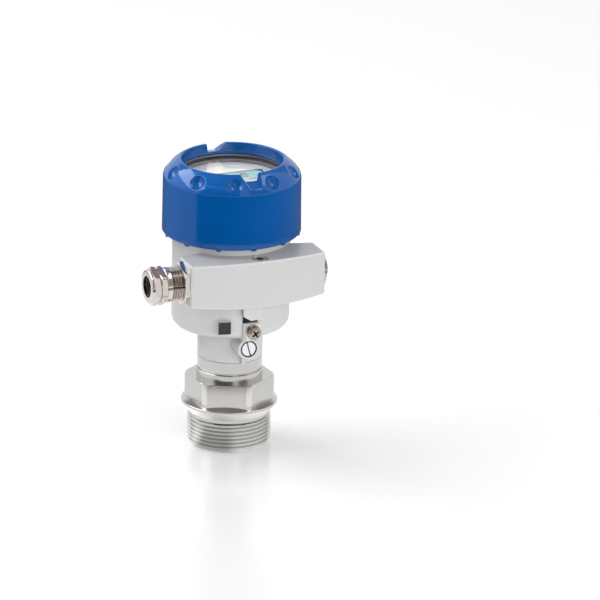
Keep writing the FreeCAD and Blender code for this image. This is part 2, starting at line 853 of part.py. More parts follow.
def lock_screw():
    """Socket head screw that locks the cap."""
    low_z = bar_top_z - lock_counterbore_depth
    head = cylinder(lock_head_r, low_z, low_z + lock_head_height)
    rim = [edge for edge in head.Edges if edge.BoundBox.ZMin > low_z + lock_head_height - on_face]
    head = head.makeFillet(small_round, rim)
    head_top_z = low_z + lock_head_height
    socket = hexagon(lock_socket_flats, head_top_z - lock_socket_depth, head_top_z)
    shank = cylinder(lock_shank_r, low_z - lock_shank_length + fit_gap, low_z)
    screw = head.fuse(shank).cut(socket)
    screw.translate(V(lock_x, -lock_front, 0))
    return screw


def cap_body():
    """Turned form of the cap before its dimples, notches and lugs are made."""
    return turned([
        (cap_rim_bore_r, cap_rim_z), (cap_rim_r, cap_rim_z, cap_edge_round),
        (cap_side_r, cap_shoulder_z, cap_shoulder_round), (cap_dome_r, cap_dome_z, cap_dome_round),
        (cap_lip_r, cap_top_z, cap_lip_round), (cap_opening_r, cap_top_z, cap_lip_round),
        (cap_opening_r, cap_lip_z), (cap_chamber_r, cap_lip_z), (cap_chamber_r, cap_chamber_z),
        (cap_thread_r + fit_gap, cap_chamber_z), (cap_thread_r + fit_gap, cap_thread_z),
        (cap_rim_bore_r, cap_thread_z)])


def cap_notch():
    """Room of one tool notch: a floor that falls outwards, a steep side and a slanted side."""
    high_z = cap_top_z + overrun
    slope_x = (high_z - notch_floor_z) * notch_slope_run / notch_slope_rise
    outline = Part.makePolygon([
        V(notch_floor_low_x, 0, notch_floor_z), V(notch_floor_high_x, 0, notch_floor_z),
        V(notch_floor_high_x + notch_steep_lean, 0, high_z), V(notch_floor_low_x - slope_x, 0, high_z),
        V(notch_floor_low_x, 0, notch_floor_z)])
    fall = math.tan(math.radians(notch_floor_tilt))
    room = Part.Face(outline).extrude((FORWARD - UP * fall) * (cap_rim_r + overrun))
    room.translate(UP * (fall * cap_opening_r))
    return room


def cap_lug():
    """Lug under the rim of the cap, at the front."""
    front_y = lug_inset - cap_rim_r
    return block((-lug_width / 2, front_y, cap_rim_z - lug_depth),
                 (lug_width / 2, front_y + lug_length, cap_rim_z + lug_root))


def cap():
    """Screwed cap with a domed grip, dimples, two tool notches and lugs under its rim."""
    body = cap_body()
    sphere = Part.makeSphere(dimple_sphere_r, V(0, -dimple_centre_r, dimple_centre_z))
    step = 360.0 / dimple_count
    for index in range(dimple_count):
        body = body.cut(spun(sphere, step * (index + 0.5)))
    for angle in (0, 180):
        body = body.cut(spun(cap_notch(), angle))
    lug = cap_lug()
    for index in range(lug_count):
        body = body.fuse(spun(lug, lug_first_angle + 360.0 / lug_count * index))
    return body.removeSplitter()


def window_gasket():
    """Flat gasket between the lip of the cap and the glass."""
    return tube(glass_r, gasket_bore_r, glass_top_z, cap_lip_z)


def window_glass():
    """Window disc under the lip of the cap."""
    return cylinder(glass_r, glass_z, glass_top_z)


def window_ring():
    """Threaded ring that holds the glass from below, with two slots for its key."""
    ring = tube(window_ring_r, window_ring_bore_r, window_ring_z, glass_z)
    slot = block((-ring_slot_width / 2, -window_ring_r, window_ring_z),
                 (ring_slot_width / 2, window_ring_r, window_ring_z + ring_slot_depth))
    return ring.cut(slot)


def cap_seal():
    """Sealing ring on the drum, under the thread of the cap."""
    low = seal_z + seal_gap
    high = cap_thread_z - seal_gap
    return turned([
        (drum_r + seal_gap, low, rubber_round), (cap_thread_r, low, rubber_round),
        (cap_thread_r, high, rubber_round), (drum_r + seal_gap, high, rubber_round)])


def key_places():
    """Centres of the three keys, from left to right."""
    return [(key_x_step * index, key_y) for index in (-1, 0, 1)]


def post_places():
    """Centres of the posts that carry the display board."""
    places = []
    for index in range(post_count):
        angle = math.radians(90 + 360.0 / post_count * index)
        places.append((post_circle_r * math.cos(angle), post_circle_r * math.sin(angle)))
    return places


def display_body():
    """Moulded display housing, open below, with the seat of the display and the key holes."""
    body = turned([
        (0, top_wall_z), (display_body_r - display_side_wall, top_wall_z),
        (display_body_r - display_side_wall, cavity_ledge_z), (display_body_r, cavity_ledge_z),
        (display_body_r, face_z, small_round), (0, face_z)])
    for x, y in post_places():
        body = body.fuse(cylinder(post_r, display_board_top_z, top_wall_z, x, y))
        body = body.cut(cylinder(small_screw_r + fit_gap, display_board_top_z,
                                 display_board_top_z + small_screw_depth, x, y))
    seat = block((-lcd_half_width - lcd_gap, lcd_front_y - lcd_gap, lcd_z),
                 (lcd_half_width + lcd_gap, lcd_back_y + lcd_gap, face_z))
    body = body.cut(seat)
    for x, y in key_places():
        body = body.cut(cylinder(key_r + key_gap, top_wall_z, face_z, x, y))
    return body.removeSplitter()


def display_face():
    """Face plate of the display with its cut-outs."""
    face = cylinder(face_r, face_z, face_top_z)
    face = face.cut(block((-lcd_half_width - lcd_gap, lcd_front_y - lcd_gap, face_z),
                          (lcd_half_width + lcd_gap, lcd_back_y + lcd_gap, face_top_z)))
    for x, y in key_places():
        face = face.cut(cylinder(key_r + key_gap, face_z, face_top_z, x, y))
    return face


def lcd_panel():
    """Flat display panel in its seat."""
    return block((-lcd_half_width, lcd_front_y, lcd_z), (lcd_half_width, lcd_back_y, lcd_top_z))


def key(index):
    """One captive key: a round cap on a flange."""
    x, y = key_places()[index]
    stem = cylinder(key_r, key_flange_top_z, face_top_z + key_proud, x, y)
    rim = [edge for edge in stem.Edges if edge.BoundBox.ZMin > face_top_z + key_proud - on_face]
    stem = stem.makeFillet(small_round, rim)
    return stem.fuse(cylinder(key_flange_r, key_flange_z, key_flange_top_z, x, y))


def key_switches():
    """Three small switches on the display board, one under each key."""
    half = switch_size / 2
    return [block((x - half, y - half, display_board_top_z), (x + half, y + half, switch_top_z))
            for x, y in key_places()]


def display_board():
    """Round circuit board under the display."""
    board = cylinder(display_board_r, display_board_z, display_board_top_z)
    for x, y in post_places():
        board = board.cut(cylinder(small_screw_r + fit_gap, display_board_z, display_board_top_z, x, y))
    return board


def display_screws():
    """Screws that hold the display board to its posts."""
    screws = []
    for x, y in post_places():
        head = cylinder(small_head_r, display_board_z - small_head_height, display_board_z, x, y)
        tip_z = display_board_top_z + small_screw_depth - fit_gap
        shank = cylinder(small_screw_r, display_board_z, tip_z, x, y)
        screws.append(head.fuse(shank))
    return screws


def electronics_cup():
    """Moulded cup of the electronics on the floor of the housing."""
    cup = turned([
        (cup_hole_r, floor_z), (cup_r, floor_z, inner_round), (cup_r, main_board_top_z),
        (cup_bore_r, main_board_top_z), (cup_bore_r, main_board_z), (cup_bore_r - cup_ledge, main_board_z),
        (cup_bore_r - cup_ledge, cup_floor_z), (cup_hole_r, cup_floor_z)])
    for angle in (0, 180):
        cup = cup.cut(spun(cylinder(cup_screw_r + fit_gap, floor_z, cup_floor_z, cup_screw_x), angle))
    return cup


def cup_screws():
    """Two screws that hold the cup to the floor of the housing."""
    head = cylinder(cup_head_r, cup_floor_z, cup_floor_z + cup_head_height, cup_screw_x)
    shank = cylinder(cup_screw_r, floor_z - cup_screw_depth + fit_gap, cup_floor_z, cup_screw_x)
    screw = head.fuse(shank)
    return [spun(screw, angle) for angle in (0, 180)]


def main_board():
    """Round circuit board that closes the cup."""
    return cylinder(main_board_r, main_board_z, main_board_top_z)


def pole_places():
    """Places of the poles of the terminal block along X."""
    return [block_pitch * (index - (block_poles - 1) / 2) for index in range(block_poles)]


def terminal_block():
    """Terminal block with wire holes in front and screw wells on top."""
    half = block_pitch * block_poles / 2
    top_z = main_board_top_z + block_height
    body = block((-half, block_y, main_board_top_z), (half, block_y + block_depth, top_z))
    wire_z = main_board_top_z + block_wire_z
    for x in pole_places():
        body = body.cut(Part.makeCylinder(block_wire_r, block_wire_depth, V(x, block_y, wire_z), V(0, 1, 0)))
        body = body.cut(cylinder(block_screw_r + fit_gap, top_z - block_screw_well, top_z,
                                 x, block_y + block_depth / 2))
    return body


def terminal_screws():
    """Slotted screws in the wells of the terminal block."""
    screws = []
    low_z = main_board_top_z + block_height - block_screw_well
    high_z = low_z + block_screw_height
    y = block_y + block_depth / 2
    for x in pole_places():
        screw = cylinder(block_screw_r, low_z, high_z, x, y)
        slot = block((x - block_screw_r, y - block_screw_slot / 2, high_z - block_screw_slot),
                     (x + block_screw_r, y + block_screw_slot / 2, high_z))
        screws.append(screw.cut(slot))
    return screws


def gland_locknut():
    """Flat hexagon nut against the end face of the bar."""
    nut = small_hexagon(locknut_flats, 0, locknut_length, gland_hex_turn, False, True)
    return at_entry(nut.cut(cylinder(entry_thread_r + fit_gap, 0, locknut_length)), LEFT)


def gland_body():
    """Gland body: entry thread, round shoulder, hexagon and the nose that carries the nut."""
    shank = cylinder(entry_thread_r, overrun - entry_thread_depth, gland_thread_end)
    shoulder = cylinder(gland_shoulder_r, gland_thread_end, gland_shoulder_end)
    flats = small_hexagon(gland_flats, gland_shoulder_end, gland_body_end, gland_hex_turn, True, True)
    nose = cylinder(gland_nose_r, gland_body_end, gland_nose_end)
    body = shank.fuse(shoulder).fuse(flats).fuse(nose)
    body = body.cut(cylinder(gland_bore_r, -entry_thread_depth, gland_nose_end))
    body = body.cut(cylinder(gland_seat_r, gland_seat_start, gland_nose_end))
    return at_entry(body, LEFT)


def gland_seal():
    """Rubber sleeve that closes on the cable."""
    start = gland_seat_start + 2 * seal_gap
    seal = turned([
        (gland_seal_bore_r, start), (gland_seal_r, start),
        (gland_seal_r, start + gland_seal_length, rubber_round),
        (gland_seal_bore_r, start + gland_seal_length, rubber_round)])
    return at_entry(seal, LEFT)


def gland_claw():
    """Slotted clamping ring between the nut and the rubber sleeve."""
    start = gland_seat_start + 2 * seal_gap
    claw = tube(claw_r, claw_bore_r, start, start + gland_claw_length)
    for index in range(gland_claw_slots // 2):
        slot = block((-claw_r - overrun, -gland_claw_slot_width / 2, start + gland_claw_root),
                     (claw_r + overrun, gland_claw_slot_width / 2, start + gland_claw_length + overrun))
        slot.rotate(V(0, 0, 0), UP, 360.0 / gland_claw_slots * index)
        claw = claw.cut(slot)
    return at_entry(claw, LEFT)


def gland_nut():
    """Domed hexagon nut of the gland."""
    hexagon_end = gland_nut_start + gland_nut_hex_length
    dome_r = gland_flats / 2 - gland_dome_inset
    flats = small_hexagon(gland_flats, gland_nut_start, hexagon_end, gland_hex_turn, True, True)
    dome = turned([
        (0, gland_nut_start + overrun), (dome_r, gland_nut_start + overrun),
        (dome_r, gland_nut_end, gland_nut_round), (0, gland_nut_end)])
    nose_room = gland_nose_end + gland_free_gap
    claw_room = gland_seat_start + gland_claw_length + gland_free_gap
    hollow = turned([
        (0, gland_nut_start - overrun), (gland_nose_r + fit_gap, gland_nut_start - overrun),
        (gland_nose_r + fit_gap, nose_room), (claw_r + gland_claw_clearance, nose_room),
        (claw_r + gland_claw_clearance, claw_room), (gland_bore_r, claw_room),
        (gland_bore_r, gland_nut_end + overrun), (0, gland_nut_end + overrun)])
    return at_entry(flats.fuse(dome).cut(hollow), LEFT)


def blind_plug():
    """Plug with a round flange and a low hexagon that closes the second cable entry."""
    flange_end = plug_seal_length + plug_flange_length
    shank = cylinder(entry_thread_r, overrun - entry_thread_depth, plug_seal_length)
    flange = cylinder(plug_flange_r, plug_seal_length, flange_end)
    head_end = flange_end + plug_hexagon_length
    head = small_hexagon(plug_flats, flange_end, head_end, plug_hexagon_turn, False, True)
    return at_entry(shank.fuse(flange).fuse(head).removeSplitter(), RIGHT)


def plug_seal():
    """Flat sealing ring under the flange of the blind plug."""
    return at_entry(tube(plug_seal_r, entry_thread_r + fit_gap, 0, plug_seal_length), RIGHT)


NODES = {
    "process_connection": process_connection,
    "ceramic_cell": ceramic_cell,
    "cell_seal": cell_seal,
    "cell_clamp_ring": cell_clamp_ring,
    "sensor_board": sensor_board,
    "sensor_lead": sensor_lead,
    "housing": housing,
    "neck_set_screw": neck_set_screw,
    "earth_plate": earth_plate,
    "earth_lock_washer": earth_lock_washer,
    "earth_screw": earth_screw,
    "earth_guard": earth_guard,
    "marker_plate": marker_plate,
    "lock_screw": lock_screw,
    "cap": cap,
    "cap_seal": cap_seal,
    "window_gasket": window_gasket,
    "window_glass": window_glass,
    "window_ring": window_ring,
    "display_body": display_body,
    "display_face": display_face,
    "lcd_panel": lcd_panel,
    "key_left": lambda: key(0),
    "key_middle": lambda: key(1),
    "key_right": lambda: key(2),
    "key_switches": key_switches,
    "display_board": display_board,
    "display_screws": display_screws,
    "display_lead": display_lead,
    "electronics_cup": electronics_cup,
    "cup_screws": cup_screws,
    "main_board": main_board,
    "terminal_block": terminal_block,
    "terminal_screws": terminal_screws,
    "gland_locknut": gland_locknut,
    "gland_body": gland_body,
    "gland_seal": gland_seal,
    "gland_claw": gland_claw,
    "gland_nut": gland_nut,
    "blind_plug": blind_plug,
    "plug_seal": plug_seal,
}


def main():
    """Write each node to its own STEP file."""
    os.makedirs("parts", exist_ok=True)
    for name, build in NODES.items():
        shape = build()
        if isinstance(shape, list):
            shape = Part.makeCompound(shape)
        shape.exportStep(os.path.join("parts", name + ".step"))
        box = shape.BoundBox
        print(f"{name:20s} solids {len(shape.Solids)} valid {shape.isValid()} volume {shape.Volume:10.1f} "
              f"x {box.XMin:6.1f} {box.XMax:6.1f} y {box.YMin:6.1f} {box.YMax:6.1f} "
              f"z {box.ZMin:6.1f} {box.ZMax:6.1f}")


main()
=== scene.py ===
"""Finished surfaces of a pressure transmitter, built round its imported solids.

The script is laid out as a Blender add-on and run as a script. Lengths in the settings are in metres;
the outlines of turned pieces are written in millimetres, and other constants say their unit. +Z is up
along the axis of the process connection, and Z = 0 is its lower end face. -Y is the front and -X the side
of the cable gland.
"""
import math

import bmesh
import bpy
import numpy as np
from bpy.props import FloatProperty, FloatVectorProperty, IntProperty, PointerProperty
from bpy.types import Operator, Panel, PropertyGroup
from mathutils import Matrix, Vector


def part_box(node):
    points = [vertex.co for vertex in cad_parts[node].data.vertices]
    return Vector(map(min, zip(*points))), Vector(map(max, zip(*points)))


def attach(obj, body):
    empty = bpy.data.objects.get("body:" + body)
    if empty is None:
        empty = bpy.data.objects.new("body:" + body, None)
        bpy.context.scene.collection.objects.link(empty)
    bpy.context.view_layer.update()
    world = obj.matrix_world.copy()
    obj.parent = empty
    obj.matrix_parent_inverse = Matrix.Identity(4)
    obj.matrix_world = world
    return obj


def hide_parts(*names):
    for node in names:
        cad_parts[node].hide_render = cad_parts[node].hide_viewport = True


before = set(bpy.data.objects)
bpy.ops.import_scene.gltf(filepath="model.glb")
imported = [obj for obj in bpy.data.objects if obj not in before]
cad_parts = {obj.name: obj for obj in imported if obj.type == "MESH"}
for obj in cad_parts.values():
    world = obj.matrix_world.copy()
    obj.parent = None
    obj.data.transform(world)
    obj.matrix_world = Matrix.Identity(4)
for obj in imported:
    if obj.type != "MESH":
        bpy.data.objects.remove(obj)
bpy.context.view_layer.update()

bl_info = {
    "name": "Pressure transmitter",
    "version": (1, 0, 0),
    "blender": (4, 5, 0),
    "location": "3D View > Sidebar > Transmitter",
    "description": "Builds the finished surfaces of a pressure transmitter round its packed solids",
    "category": "Add Mesh",
}

MM = 0.001

# Radius of the cap's wall round the window, in millimetres
WINDOW_WALL = 29.1

# Outlines of turned pieces as (radius, height) corners in millimetres; a third number rounds that corner
CONNECTION_INSIDE = [
    (21.35, 0.9), (20.15, 0.9), (20.15, 0, 0.15), (14.55, 0, 0.15), (14.55, 5), (16.6, 5), (16.6, 11.55),
    (17.2, 11.55), (17.2, 22.15), (8, 24.15), (8, 70), (15.5, 70), (15.5, 53), (18.7, 53), (18.7, 46, 0.4),
    (18.2, 46), (18.2, 45.3), (19.1, 45.3, 0.4)]
COLLAR = [(22.6, 19.6), (23.6, 19.6, 0.15), (27.7, 24.6, 0.5), (27.7, 26, 0.4), (22.8, 27.8)]
CAP_OUTLINE = [
    (36, 128.1, 0.2), (39.8, 128.1, 0.8), (39.5, 161.5, 5.6), (35.5, 167.6, 22), (30.6, 170.5, 0.9),
    (WINDOW_WALL, 170.5, 0.6), (WINDOW_WALL, 164.3), (WINDOW_WALL, 163.2), (33.2, 163.2), (33.2, 150),
    (35.65, 150), (35.65, 133.4), (36, 133.4)]
LIP_OUTLINE = [(29.08, 163.8), (28.85, 163.85, 0.08), (28.85, 164.15, 0.1), (29.08, 164.25)]
BEAD_OUTLINE = [(29.08, 164.3), (28.8, 164.3, 0.1), (28.8, 164.9, 0.25), (29.08, 165.0)]

# The gland's heights run outwards along its axis, from the end face of the bar, whose place is in metres
GLAND_FLANGE = [(10.15, 9.8, 0.3), (10.15, 12.6, 0.3), (9.9, 12.9)]
GLAND_INSIDE = [(9.0, 16.5), (9.0, 18.9), (8.1, 18.9), (8.1, 15.3), (6.2, 15.3), (6.2, -11), (9.7, -11)]
ENTRY_FACE = (-0.0409, -0.031, 0.1103)

# Rise of the bevel that takes the corners off a hexagon, for one step outwards
BEVEL_RISE = math.tan(math.radians(30))


def linear(red, green, blue):
    """Scene colour of a display colour given from 0 to 255."""
    out = []
    for value in (red, green, blue):
        share = value / 255
        out.append(share / 12.92 if share <= 0.04045 else ((share + 0.055) / 1.055) ** 2.4)
    return tuple(out)


def length(name, description, default):
    """Setting for a length in metres."""
    return FloatProperty(name=name, description=description, default=default, unit="LENGTH",
                         subtype="DISTANCE", precision=5)


def rotation(name, description, degrees):
    """Setting for an angle."""
    return FloatProperty(name=name, description=description, default=math.radians(degrees), unit="ROTATION",
                         subtype="ANGLE")


def colour(name, description, red, green, blue):
    """Setting for a colour, whose default is a display colour."""
    return FloatVectorProperty(name=name, description=description, default=linear(red, green, blue),
                               subtype="COLOR", size=3, min=0, max=1)


def how_many(name, description, default):
    """Setting for how many of a thing there are."""
    return IntProperty(name=name, description=description, default=default, min=1)


def number(name, description, default):
    """Setting for a plain number."""
    return FloatProperty(name=name, description=description, default=default)


class ConnectionSizes(PropertyGroup):
    """Sizes of the turned process connection."""
    thread_radius: length("Thread radius", "Radius of the crests of the process thread", 0.0239)
    thread_root: length("Thread root", "Radius of the roots of the process thread", 0.0226)
    thread_pitch: length("Thread pitch", "Rise of the process thread for one turn", 0.002309)
    thread_top: length("Thread top", "Height where the process thread runs out", 0.01755)
    nose_radius: length("Nose radius", "Radius of the lower end of the thread chamfer", 0.02135)
    chamfer_height: length("Chamfer height", "Height of the thread chamfer", 0.00255)
    hexagon_flats: length("Hexagon", "Width of the hexagon across its flats", 0.046)
    hexagon_turn: rotation("Hexagon turn", "Angle of one corner from +X", 35)
    hexagon_top: length("Hexagon top", "Height of the top of the hexagon", 0.0409)


class CapSizes(PropertyGroup):
    """Sizes of the screwed cap."""
    dimple_count: how_many("Dimples", "Number of dimples round the dome", 10)
    dimple_radius: length("Dimple radius", "Radius of the ball that a dimple is cut with", 0.0057)
    dimple_ring: length("Dimple ring", "Distance of the centres of the balls from the axis", 0.03877)
    dimple_height: length("Dimple height", "Height of the centres of the balls", 0.1679)
    notch_floor: length("Notch floor", "Height of the inner edge of the notches' floors", 0.1658)
    notch_fall: rotation("Notch fall", "How the floor of a notch falls outwards", 12)
    notch_low: length("Notch low side", "Where the floor meets the slope, sideways from the middle", -0.0032)
    notch_high: length("Notch steep side", "Where the floor meets the steep side", 0.0038)
    edge_softness: length("Edge softness", "How far the rims of the dimples are rounded", 0.0008)
    notch_softness: length("Notch softness", "How far the edges of the notches are rounded", 0.0013)
    lug_count: how_many("Lugs", "Number of lugs under the rim", 12)
    lug_start: rotation("First lug", "Angle of the first lug from the front", -2)
    lug_width: length("Lug width", "Width and depth of a lug", 0.0026)
    lug_drop: length("Lug drop", "How far a lug reaches below the rim", 0.0008)


class GlandSizes(PropertyGroup):
    """Sizes of the cable gland, along its axis outwards from the end face of the bar."""
    thread_radius: length("Thread radius", "Radius of the crests of the entry thread", 0.010)
    thread_root: length("Thread root", "Radius of the roots of the entry thread", 0.0091)
    thread_pitch: length("Thread pitch", "Rise of the entry thread for one turn", 0.0015)
    flats: length("Hexagon", "Width of the gland's hexagon across its flats", 0.020)
    hexagon_turn: rotation("Hexagon turn", "Angle of one corner of the gland's hexagon", 9)


class DisplaySizes(PropertyGroup):
    """Sizes of what the display shows."""
    digit_height: length("Digit height", "Height of the large digits", 0.0066)
    small_digit_height: length("Small digit height", "Height of the small digits", 0.0026)
    stroke: length("Stroke", "Width of a segment of a large digit", 0.0015)
    small_stroke: number("Small stroke", "Share of that width that a small digit's segments have", 0.4)


class FinishColours(PropertyGroup):
    """Colours of the finishes."""
    casting: colour("Casting", "Silver grey of the cast housing", 200, 200, 200)
    cap: colour("Cap", "Blue coat of the cap", 0, 96, 176)
    steel: colour("Steel", "Turned stainless steel", 202, 201, 199)
    nickel: colour("Nickel", "Nickel plate of the gland and the plug", 222, 214, 209)
    plate: colour("Earth plate", "Bright plate of the earth terminal and its guard", 250, 248, 246)
    screw: colour("Screw", "Plain screws of the housing", 196, 195, 195)
    earth: colour("Earth screw", "Yellowish plate of the earth screw", 190, 178, 168)
    ceramic: colour("Ceramic", "Measuring cell", 209, 176, 142)
    face: colour("Face plate", "Face plate of the display", 206, 202, 198)
    screen: colour("Screen", "Background of the display", 118, 170, 172)
    moulding: colour("Moulding", "Grey mouldings of the display", 120, 114, 110)
    dark: colour("Dark moulding", "Black mouldings and the marker plate", 44, 44, 46)
    seal: colour("Window seal", "Grey-brown seal of the window", 160, 146, 138)
    rubber: colour("Rubber", "Seals and the gland's sleeve", 26, 26, 27)
    board: colour("Circuit board", "Circuit boards", 30, 92, 58)
    clamp: colour("Clamp ring", "Clamping ring of the gland", 214, 214, 208)
    # Painted highlight: near-white colour for the steel cone under the collar
    cone_highlight: colour("Cone", "Bright cone under the collar", 254, 253, 252)
    # Painted highlight: bright colour for the turned corners of the big hexagon
    corners: colour("Hexagon corners", "Bright turned corners of the big hexagon", 250, 249, 248)
    # Painted shade: darker colour for the gland's entry thread
    gland_thread_shade: colour("Gland thread", "Duller plate on the thread of the gland", 128, 112, 102)
    zinc: colour("Set screw", "Matt zinc plate of the set screw", 222, 221, 222)
    window_ring: colour("Window ring", "Ring that holds the window glass", 140, 126, 118)
    screen_edge: colour("Screen edge", "Dark border of the display", 18, 20, 22)
    digits: colour("Digits", "Segments that the display shows", 12, 14, 15)
    keys: colour("Keys", "Keys of the display", 118, 122, 124)
    lead: colour("Leads", "Leads inside the housing", 110, 110, 114)


class StageSettings(PropertyGroup):
    """Camera, lamps and floor."""
    camera_place: FloatVectorProperty(
        name="Camera", description="Place of the camera", unit="LENGTH", subtype="TRANSLATION",
        default=(-1.44035, -3.65654, 1.454))
    camera_yaw: rotation("Camera yaw", "Turn of the camera from +Y towards +X", 22.081)
    camera_pitch: rotation("Camera pitch", "How far the camera looks down", 19.197)
    camera_roll: rotation("Camera roll", "Turn of the camera round its own axis", 0.964)
    lens: number("Lens", "Focal length in millimetres", 435.6)
    key_power: number("Key lamp", "Power of the lamp at the upper left, in watts", 33.0)
    top_power: number("Top lamp", "Power of the lamp at the upper right, in watts", 9.0)
    fill_power: number("Fill lamp", "Power of the wide lamp in front, in watts", 62.0)
    overhead_power: number("Overhead lamp", "Power of the wide lamp above, in watts", 14.0)
    sky: number("Sky", "Strength of the even light from all sides", 0.24)
    floor_shade: number("Floor", "Colour of the floor, from black to white", 0.94)
    floor_glow: number("Floor glow", "What is added to the floor's own light in the view", 0.02)


class TransmitterSettings(PropertyGroup):
    """All settings of the transmitter."""
    connection: PointerProperty(type=ConnectionSizes)
    cap: PointerProperty(type=CapSizes)
    gland: PointerProperty(type=GlandSizes)
    display: PointerProperty(type=DisplaySizes)
    colours: PointerProperty(type=FinishColours)
    stage: PointerProperty(type=StageSettings)


def settings():
    """Settings of the transmitter in the open scene."""
    return bpy.context.scene.transmitter


class Wire:
    """One output of a node. Arithmetic on it adds Math nodes to the same tree."""

    def __init__(self, maker, node, output=0):
        self.maker = maker
        self.node = node
        self.output = output

    def __getitem__(self, output):
        return Wire(self.maker, self.node, output)

    def math(self, operation, *values):
        """Result of a Math node whose first value is this output."""
        return self.maker.add("ShaderNodeMath", {"operation": operation}, dict(enumerate((self,) + values)))

    def last_in(self, operation, other):
        """Result of a Math node whose second value is this output."""
        return self.maker.add("ShaderNodeMath", {"operation": operation}, {0: other, 1: self})

    def __add__(self, other):
        return self.math("ADD", other)

    __radd__ = __add__

    def __sub__(self, other):
        return self.math("SUBTRACT", other)

    def __rsub__(self, other):
        return self.last_in("SUBTRACT", other)

    def __mul__(self, other):
        return self.math("MULTIPLY", other)

    __rmul__ = __mul__

    def __truediv__(self, other):
        return self.math("DIVIDE", other)

    def __rtruediv__(self, other):
        return self.last_in("DIVIDE", other)

    def __gt__(self, other):
        return self.math("GREATER_THAN", other)

    def __lt__(self, other):
        return self.math("LESS_THAN", other)


class Maker:
    """Adds nodes to one node tree."""

    def __init__(self, tree):
        self.tree = tree

    def add(self, kind, choices=None, values=None):
        """Add a node: its choices are set first, then the values or wires of its sockets."""
        node = self.tree.nodes.new(kind)
        for name, value in (choices or {}).items():
            if name == "stops":
                self.set_stops(node.color_ramp, value)
            else:
                setattr(node, name, value)
        for name, value in (values or {}).items():
            if isinstance(value, Wire):
                self.tree.links.new(value.node.outputs[value.output], node.inputs[name])
            else:
                node.inputs[name].default_value = value
        return Wire(self, node)

    def set_stops(self, ramp, stops):
        """Give a colour ramp its (place, grey) stops."""
        while len(ramp.elements) < len(stops):
            ramp.elements.new(1.0)
        for element, (place, grey) in zip(ramp.elements, stops):
            element.position = place
            element.color = (grey, grey, grey, 1)

    def vector(self, x, y, z):
        """Vector from its three parts."""
        return self.add("ShaderNodeCombineXYZ", None, {0: x, 1: y, 2: z})

    def split(self, vector):
        """The three parts of a vector."""
        parts = self.add("ShaderNodeSeparateXYZ", None, {0: vector})
        return parts[0], parts[1], parts[2]

    def mix(self, factor, low, high):
        """Colour between two colours."""
        low, high = (value if isinstance(value, Wire) else (*value, 1) for value in (low, high))
        return self.add("ShaderNodeMix", {"data_type": "RGBA"}, {0: factor, 6: low, 7: high})[2]


class Finish(Maker):
    """A material with one principled shader, patterned in the object's own coordinates."""

    def __init__(self, name):
        self.material = bpy.data.materials.new(name)
        self.material.use_nodes = True
        super().__init__(self.material.node_tree)
        self.tree.nodes.clear()
        self.place = self.add("ShaderNodeTexCoord")["Object"]

    def noise(self, scale, detail=2.0, place=None, roughness=0.5):
        """Noise with features of about 1 / scale metres."""
        return self.add("ShaderNodeTexNoise", {"noise_dimensions": "3D"},
                        {"Vector": place or self.place, "Scale": scale, "Detail": detail,
                         "Roughness": roughness})

    def cells(self, scale):
        """Distance to the middle of the nearest cell, with cells of about 1 / scale metres."""
        return self.add("ShaderNodeTexVoronoi", None, {"Vector": self.place, "Scale": scale})["Distance"]

    def from_axis(self, x=0.0, y=0.0, z=0.0, turn=(0.0, 0.0, 0.0)):
        """Distance from an axis through a point, and the way along it, after a turn."""
        centred = self.add("ShaderNodeMapping", {"vector_type": "TEXTURE"},
                           {"Vector": self.place, "Location": (x, y, z), "Rotation": turn})
        across, along, up = self.split(centred)
        return (across * across + along * along).math("SQRT"), up

    def marks(self, radius, along, scale, detail, roughness):
        """Turning marks: noise that is the same all the way round an axis."""
        return self.noise(1.0, detail, self.vector(radius * scale, 0.0, along * scale), roughness)

    def grey_round(self, stops):
        """Grey round the main axis, from (azimuth, grey) stops; 0 degrees is the front and 90 the right."""
        x, y, _ = self.split(self.place)
        turn = x.math("ARCTAN2", 0.0 - y) / (2 * math.pi) + 0.5
        return self.add("ShaderNodeValToRGB", {"stops": [(0.5 + at / 360, grey) for at, grey in stops]},
                        {0: turn})

    def shades(self, tint, mask, amount):
        """A colour that gets lighter and darker by a share, following a mask from 0 to 1."""
        dark = tuple(value * (1 - amount) for value in tint)
        light = tuple(min(value * (1 + amount), 1.0) for value in tint)
        return self.mix(mask, dark, light)

    def finish(self, base, roughness, height=None, relief=0.0, **plain):
        """Join the pattern to the shader. Plain numbers go on the shader's own sockets."""
        values = {"Base Color": base, "Roughness": roughness}
        for name, value in plain.items():
            values[name.replace("_", " ").title().replace("Ior", "IOR")] = value
        if height is not None:
            values["Normal"] = self.add("ShaderNodeBump", None,
                                        {"Strength": 1.0, "Distance": relief, "Height": height})
        shader = self.add("ShaderNodeBsdfPrincipled", None, values)
        self.add("ShaderNodeOutputMaterial", None, {"Surface": shader})
        return self.material


def shared(name, make):
    """A finish that more than one group of pieces has, made for the first of them."""
    return bpy.data.materials.get(name) or make()


def grained_finish(name, tint, grain, tint_change, roughness, roughness_change, relief=0.0, cloud=None,
                   cloud_share=0.0, **plain):
    """A finish whose roughness and relief follow a fine grain, and its colour the grain and slow clouds.

    The grain and the cloud are each the scale and the detail of a noise.
    """
    finish = Finish(name)
    fine = finish.noise(*grain)
    mask = fine
    if cloud:
        mask = cloud_share * finish.noise(*cloud) + (1 - cloud_share) * fine
    base = finish.shades(tint, mask, tint_change)
    height = fine if relief else None
    return finish.finish(base, roughness + roughness_change * fine, height, relief, **plain)


def casting_finish():
    """Satin silver coat on a fine-grained casting."""
    finish = Finish("casting")
    grain = finish.noise(2400, 3)
    cloud = finish.noise(60, 2)
    sparkle = finish.noise(9000, 1)
    base = finish.shades(settings().colours.casting, 0.7 * cloud + 0.3 * sparkle, amount=0.05)
    return finish.finish(base, 0.36 + 0.10 * grain, grain, relief=0.00003, metallic=0.25, coat_weight=0.25,
                         coat_roughness=0.3)


